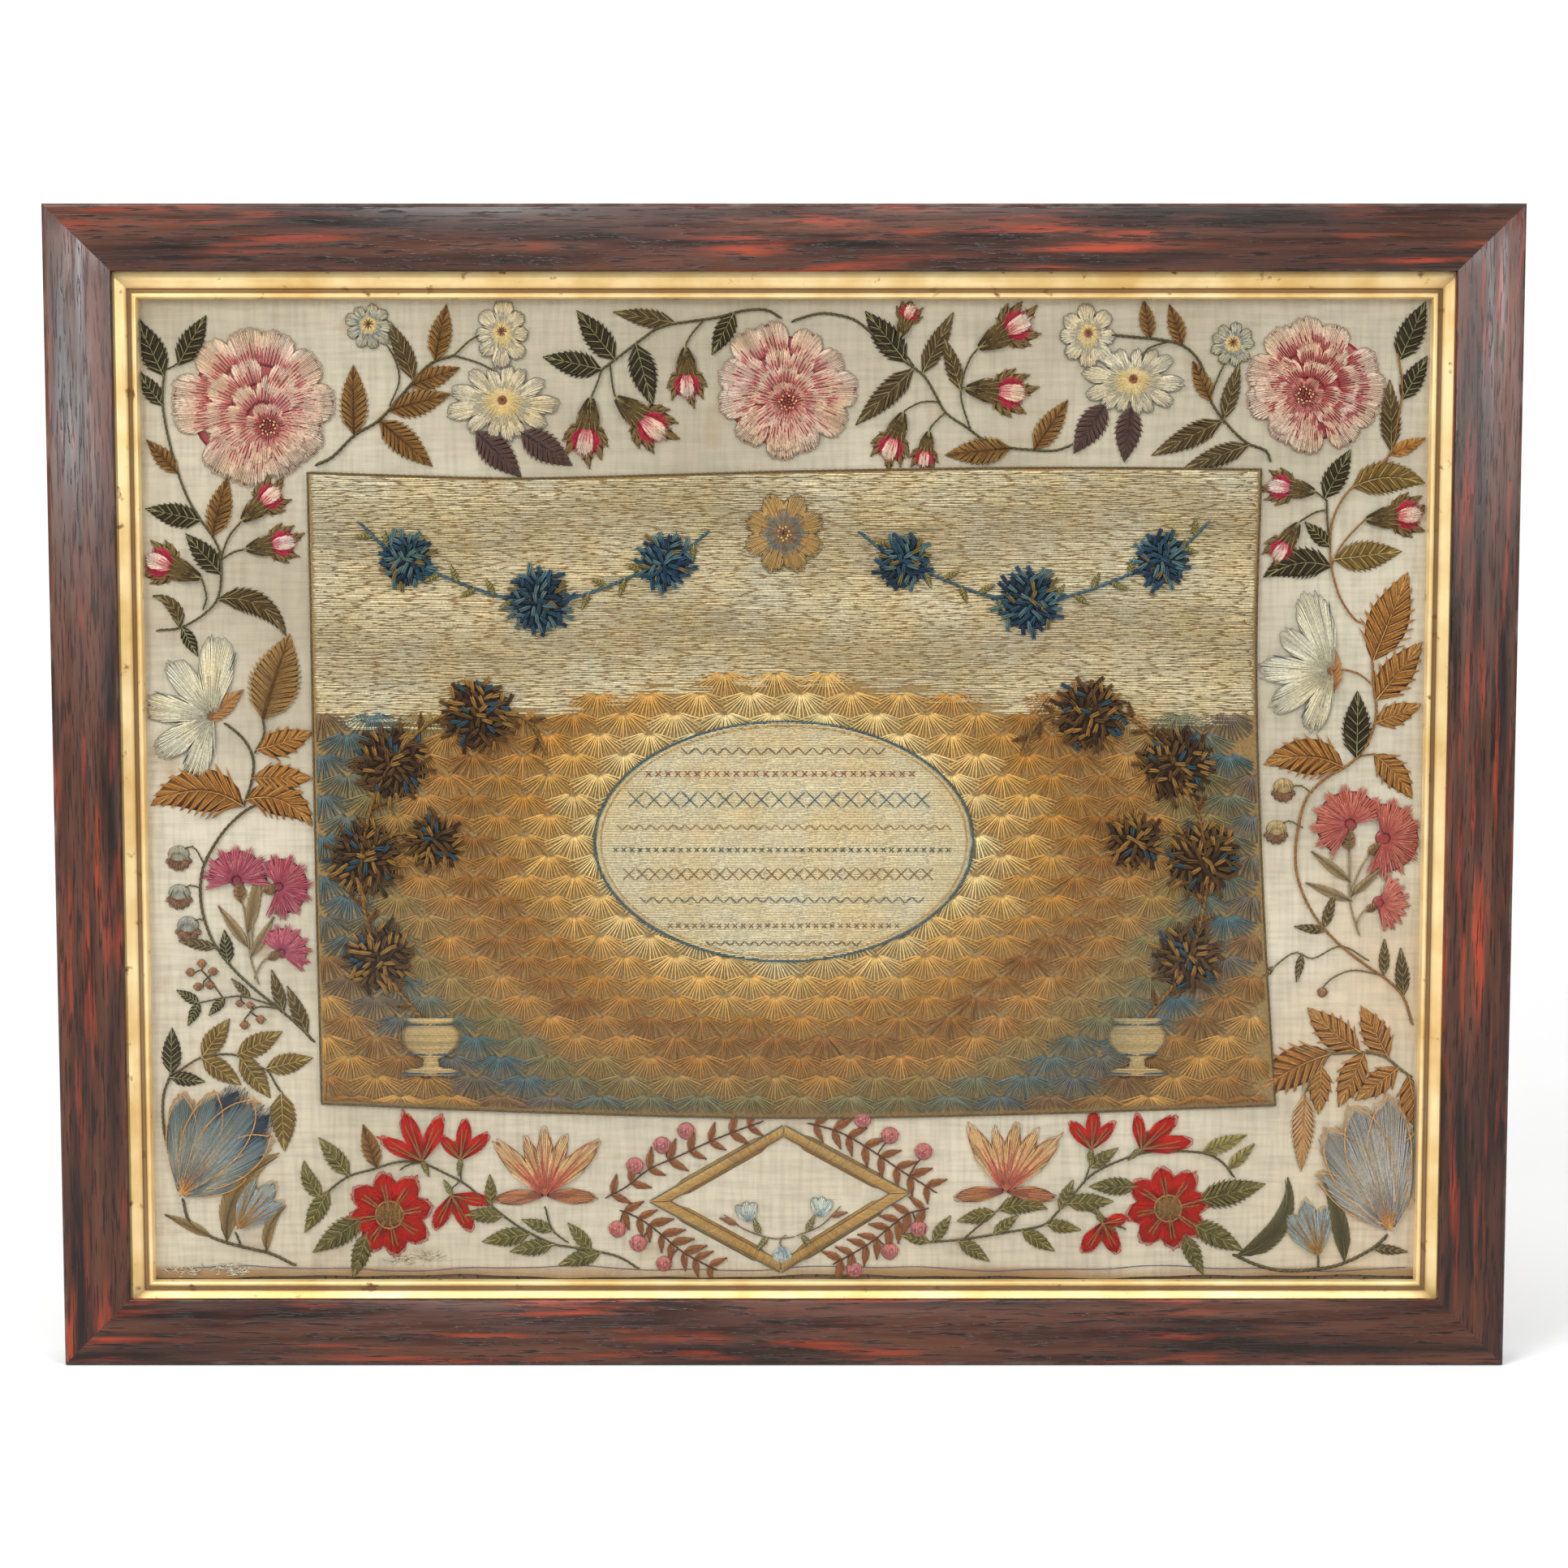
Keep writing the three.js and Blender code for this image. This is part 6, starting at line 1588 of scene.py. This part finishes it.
def giltMaterial(name, stretch):
    # leaf over red clay: rubbed thin in spots, painted shade darkening the groove, fine scratches along the
    # moulding
    material, tree, surface = newMaterial(name, 0.36, 0.4, specular=0.5)
    tones = {part: linear(*giltPlan[part]) for part in giltPlan}
    clouds = noise(tree, 36, 4, (1, 1, 1), 0.35, 0.7)
    scratches = noise(tree, 520, 3, stretch, 0.45, 0.75)
    base = blended(tree, clouds, tones["gold"], tones["deep"])
    base = blended(tree, calc(tree, "MULTIPLY", scratches, 0.3), base, tones["deep"])
    base = blended(tree, noise(tree, 130, 6, (1, 1, 1), 0.64, 0.72), base, tones["red"])
    # painted shade: the groove's points are darkened towards the last gilt colour
    sunk = calc(tree, "MULTIPLY", painted(tree, "worn").outputs["Fac"], 0.85)
    base = blended(tree, sunk, base, tones["grooveShade"])
    link(tree, base, surface.inputs["Base Color"])
    link(tree, calc(tree, "ADD", calc(tree, "MULTIPLY", scratches, 0.12), 0.3), surface.inputs["Roughness"])
    bumped(tree, surface, scratches, 0.00008, 0.4)
    return material


def arcPoints(centre, radius, start, end, count):
    # points on a circle, from one angle in degrees to another
    return np.array(centre) + radius * rays(np.radians(np.linspace(start, end, count)))


def moulding(name, node, side, half, centre, section, material, worn, stations=60):
    # A section (distance out from the sight edge, depth; mm) carried along one side of a rectangle of
    # the half sizes, with mitred ends: a point lies further along by its own distance out.
    out, depth = section.T
    t = np.linspace(-1, 1, stations)[:, None]
    facing = {"top": 1, "bottom": -1, "left": -1, "right": 1}[side]
    level = side in ("top", "bottom")
    reach, away = (half[0], half[1]) if level else (half[1], half[0])
    along = t * (reach + out)
    across = facing * (away + out) + 0 * t
    y = depth + 0 * t + 0.05 * np.sin(along / 37 + out / 5) * worn
    x, z = (along, across) if level else (across, along)
    points = np.stack([centre[0] + x, y, centre[1] + z], -1) * 0.001
    count = len(out)
    s = (np.arange(stations - 1)[:, None] * count + np.arange(count)[None])
    after = np.roll(s, -1, axis=1)
    faces = np.stack([s, after, after + count, s + count], -1).reshape(-1, 4).tolist()
    last = (stations - 1) * count
    faces += [list(range(count - 1, -1, -1)), list(range(last, last + count))]
    mesh = meshFrom(name, points, faces)
    # each section point's share of a tone change: wear on the rails, painted shade in the slip's groove
    edge = mesh.attributes.new("worn", "FLOAT", "POINT")
    edge.data.foreach_set("value", np.tile(worn, stations).astype(np.float32))
    work = bmesh.new()
    work.from_mesh(mesh)
    bmesh.ops.recalc_face_normals(work, faces=work.faces[:])
    work.to_mesh(mesh)
    work.free()
    mesh.set_sharp_from_angle(angle=math.radians(40))
    newPiece(name, mesh, material, [node])


framePlan = {"opening": (355.7, 276.2), "middle": -293.35, "face": 34.3, "front": -30.0, "inner": -24.0,
             "lip": -21.0, "rebate": 9.0, "outerRound": 2.2, "innerRound": 1.2}


def railSection():
    # from the outer side: rounded edge, sloping face, rounded inner edge, lip, rebate, flat back
    plan = framePlan
    face, big, small = plan["face"], plan["outerRound"], plan["innerRound"]
    slope = math.degrees(math.atan2(plan["inner"] - plan["front"], face))
    outer = arcPoints((face - big, plan["front"] + big + 0.15), big, 0, -90 - slope, 7)
    inner = arcPoints((small, plan["inner"] + small - 0.1), small, -90 - slope, -180, 5)
    section = np.vstack([
        [(face, -1.0), (face, -14.0)], outer, inner, [(0.0, plan["lip"]), (plan["rebate"], plan["lip"]),
        (plan["rebate"], 0.0), (face - 1.0, 0.0)]])
    worn = np.zeros(len(section))
    worn[2:9] = np.sin(np.linspace(0.2, np.pi, 7))
    worn[9:14] = 0.7 * np.sin(np.linspace(0.0, np.pi, 5))
    return section, worn


slipPlan = {"under": 6.0, "flat": 4.9, "groove": 2.1, "bead": 2.7, "shift": 0.35, "sag": 2.6, "front": -18.4,
            "back": -9.0, "low": -12.85, "step": -13.6, "foot": -14.2}


def slipSection():
    # measured out from the sight edge: round bead, groove, flat that rises to the lip, hidden part
    plan = slipPlan
    bead = plan["bead"]
    groove = bead + plan["groove"]
    flat = groove + plan["flat"]
    rounded = arcPoints((bead / 2, plan["back"] - 4.0), bead / 2, 180, 350, 9)
    slope = np.linspace(0, 1, 5)[:, None]
    foot, low = plan["foot"], plan["low"]
    rise = np.hstack([groove + 0.5 + (flat - groove - 0.5) * slope, foot + (plan["front"] - foot) * slope])
    section = np.vstack([
        [(0.0, plan["back"])], rounded,
        [(bead + 0.3, low), (groove - 0.3, low), (groove, plan["step"])], rise,
        [(flat + plan["under"], plan["front"]), (flat + plan["under"], plan["back"])]])
    # painted shade: the groove's points get a share of darkening, which the gilt reads
    grooveShade = np.zeros(len(section))
    grooveShade[9:14] = (0.4, 1, 1, 1, 0.3)
    return section, grooveShade


rails, railWear = railSection()
# the slip's second array marks its groove for painted shade
slips, slipGrooveShade = slipSection()
slipWide = slipPlan["bead"] + slipPlan["groove"] + slipPlan["flat"]
grain = {"top": (0.06, 1, 1), "bottom": (0.06, 1, 1), "left": (1, 1, 0.06), "right": (1, 1, 0.06)}
woods = {side: woodMaterial("dark wood " + side, grain[side], 0.24) for side in grain}
gilts = {side: giltMaterial("gilt " + side, grain[side]) for side in grain}
for side in grain:
    moulding("rail_moulding_" + side, "rail_" + side, side, framePlan["opening"], (0.0, framePlan["middle"]),
             rails, woods[side], railWear)
    moulding("slip_moulding_" + side, "slip_" + side, side,
             [reach - slipWide for reach in framePlan["opening"]],
             (slipPlan["shift"], framePlan["middle"] - slipPlan["sag"]), slips, gilts[side], slipGrooveShade)
print("frame made")


# Glass and backing board

glassPlan = {"roughness": 0.0, "refraction": 1.2, "specular": 0.1}


def glassMaterial():
    material, tree, surface = newMaterial("old glass", glassPlan["roughness"], specular=glassPlan["specular"])
    surface.inputs["Transmission Weight"].default_value = 1.0
    surface.inputs["IOR"].default_value = glassPlan["refraction"]
    tint = blended(tree, noise(tree, 5, 3, (1, 1, 0.4), 0.3, 0.7), linear(252, 254, 250),
                   linear(246, 250, 248))
    link(tree, tint, surface.inputs["Base Color"])
    bumped(tree, surface, noise(tree, 6, 2, (1, 1, 0.3), 0.2, 0.8), 0.0008, 0.25)
    return material


def boardMaterial():
    # grey-brown pasteboard, flecked and water stained
    material, tree, surface = newMaterial("paste board", 0.85, specular=0.2)
    base = blended(tree, noise(tree, 14, 5, (1, 1, 1), 0.38, 0.66), linear(146, 124, 96),
                   linear(130, 109, 83))
    base = blended(tree, noise(tree, 500, 3, (1, 1, 1), 0.58, 0.64), base, linear(84, 68, 50))
    link(tree, base, surface.inputs["Base Color"])
    bumped(tree, surface, noise(tree, 260, 4), 0.0002, 0.5)
    return material


def dress(node, material):
    # puts a finish on a node that keeps its own shape
    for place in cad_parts[node].material_slots:
        place.material = material


dress("glass", glassMaterial())
dress("backing", boardMaterial())
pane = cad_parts["glass"]
pane.visible_shadow = pane.visible_diffuse = pane.visible_glossy = False    # light passes it unchanged
print("glass and board dressed")


# Floor, backdrop and light

stagePlan = {"floor": -0.6042, "wide": 6.0, "near": -3.2, "bend": 0.9, "radius": 0.7, "height": 2.6,
             "tone": (236, 236, 236)}


def backdrop():
    # a floor that runs back, turns up through a quarter circle and becomes a wall
    plan = stagePlan
    curve = arcPoints((plan["bend"], plan["floor"] + plan["radius"]), plan["radius"], -90, 0, 14)
    line = np.vstack([[(plan["near"], plan["floor"])], curve,
                      [(plan["bend"] + plan["radius"], plan["height"])]])
    x = np.linspace(-plan["wide"], plan["wide"], 9)[None]
    points = np.stack([x + 0 * line[:, :1], line[:, :1] + 0 * x, line[:, 1:] + 0 * x], -1)
    material, tree, surface = newMaterial("pale paper", 0.9, specular=0.1)
    tone = linear(*plan["tone"])
    link(tree, blended(tree, noise(tree, 3, 3), tone, tone * 0.985), surface.inputs["Base Color"])
    mesh = meshFrom("floor_paper", points, gridFaces(len(line), 9).tolist())
    mesh.materials.append(material)
    piece = bpy.data.objects.new("floor_paper", mesh)
    bpy.context.scene.collection.objects.link(piece)


lights = {
    "key": {"place": (-1.55, -1.5, 1.15), "aim": (0, 0, -0.29), "size": (1.1, 1.1), "power": 44},
    "fill": {"place": (1.75, -1.5, 0.75), "aim": (0, 0, -0.29), "size": (1.1, 1.1), "power": 24.5},
    "backdrop": {"place": (0.0, -0.5, 1.9), "aim": (0, 0.9, -0.1), "size": (2.6, 1.0), "power": 28},
    "polish_left": {"place": (-0.36, -1.75, 0.22), "aim": (-0.37, 0, -0.06), "size": (0.4, 0.46),
                    "power": 13},
    "polish_right": {"place": (0.36, -1.75, 0.24), "aim": (0.37, 0, -0.05), "size": (0.4, 0.4), "power": 9},
}
skyPower = 0.55


def addLights():
    # the two small lamps light only the rails, whose polish shows them near the top
    polished = bpy.data.collections.new("polished")
    for side in grain:
        polished.objects.link(bpy.data.objects["rail_moulding_" + side])
    for name, plan in lights.items():
        data = bpy.data.lights.new(name, "AREA")
        data.shape = "RECTANGLE"
        data.size, data.size_y = plan["size"]
        data.energy = plan["power"]
        lamp = bpy.data.objects.new(name, data)
        lamp.location = plan["place"]
        aim = Vector(plan["aim"]) - Vector(plan["place"])
        lamp.rotation_euler = aim.to_track_quat("-Z", "Y").to_euler()
        bpy.context.scene.collection.objects.link(lamp)
        if name.startswith("polish"):
            lamp.light_linking.receiver_collection = polished
    world = bpy.data.worlds.new("studio")
    world.use_nodes = True
    sky = world.node_tree.nodes["Background"].inputs
    sky["Color"].default_value = (1, 1, 1, 1)
    sky["Strength"].default_value = skyPower
    bpy.context.scene.world = world
    bpy.context.scene.view_settings.view_transform = "Standard"


backdrop()
addLights()
print("floor and lights ready")
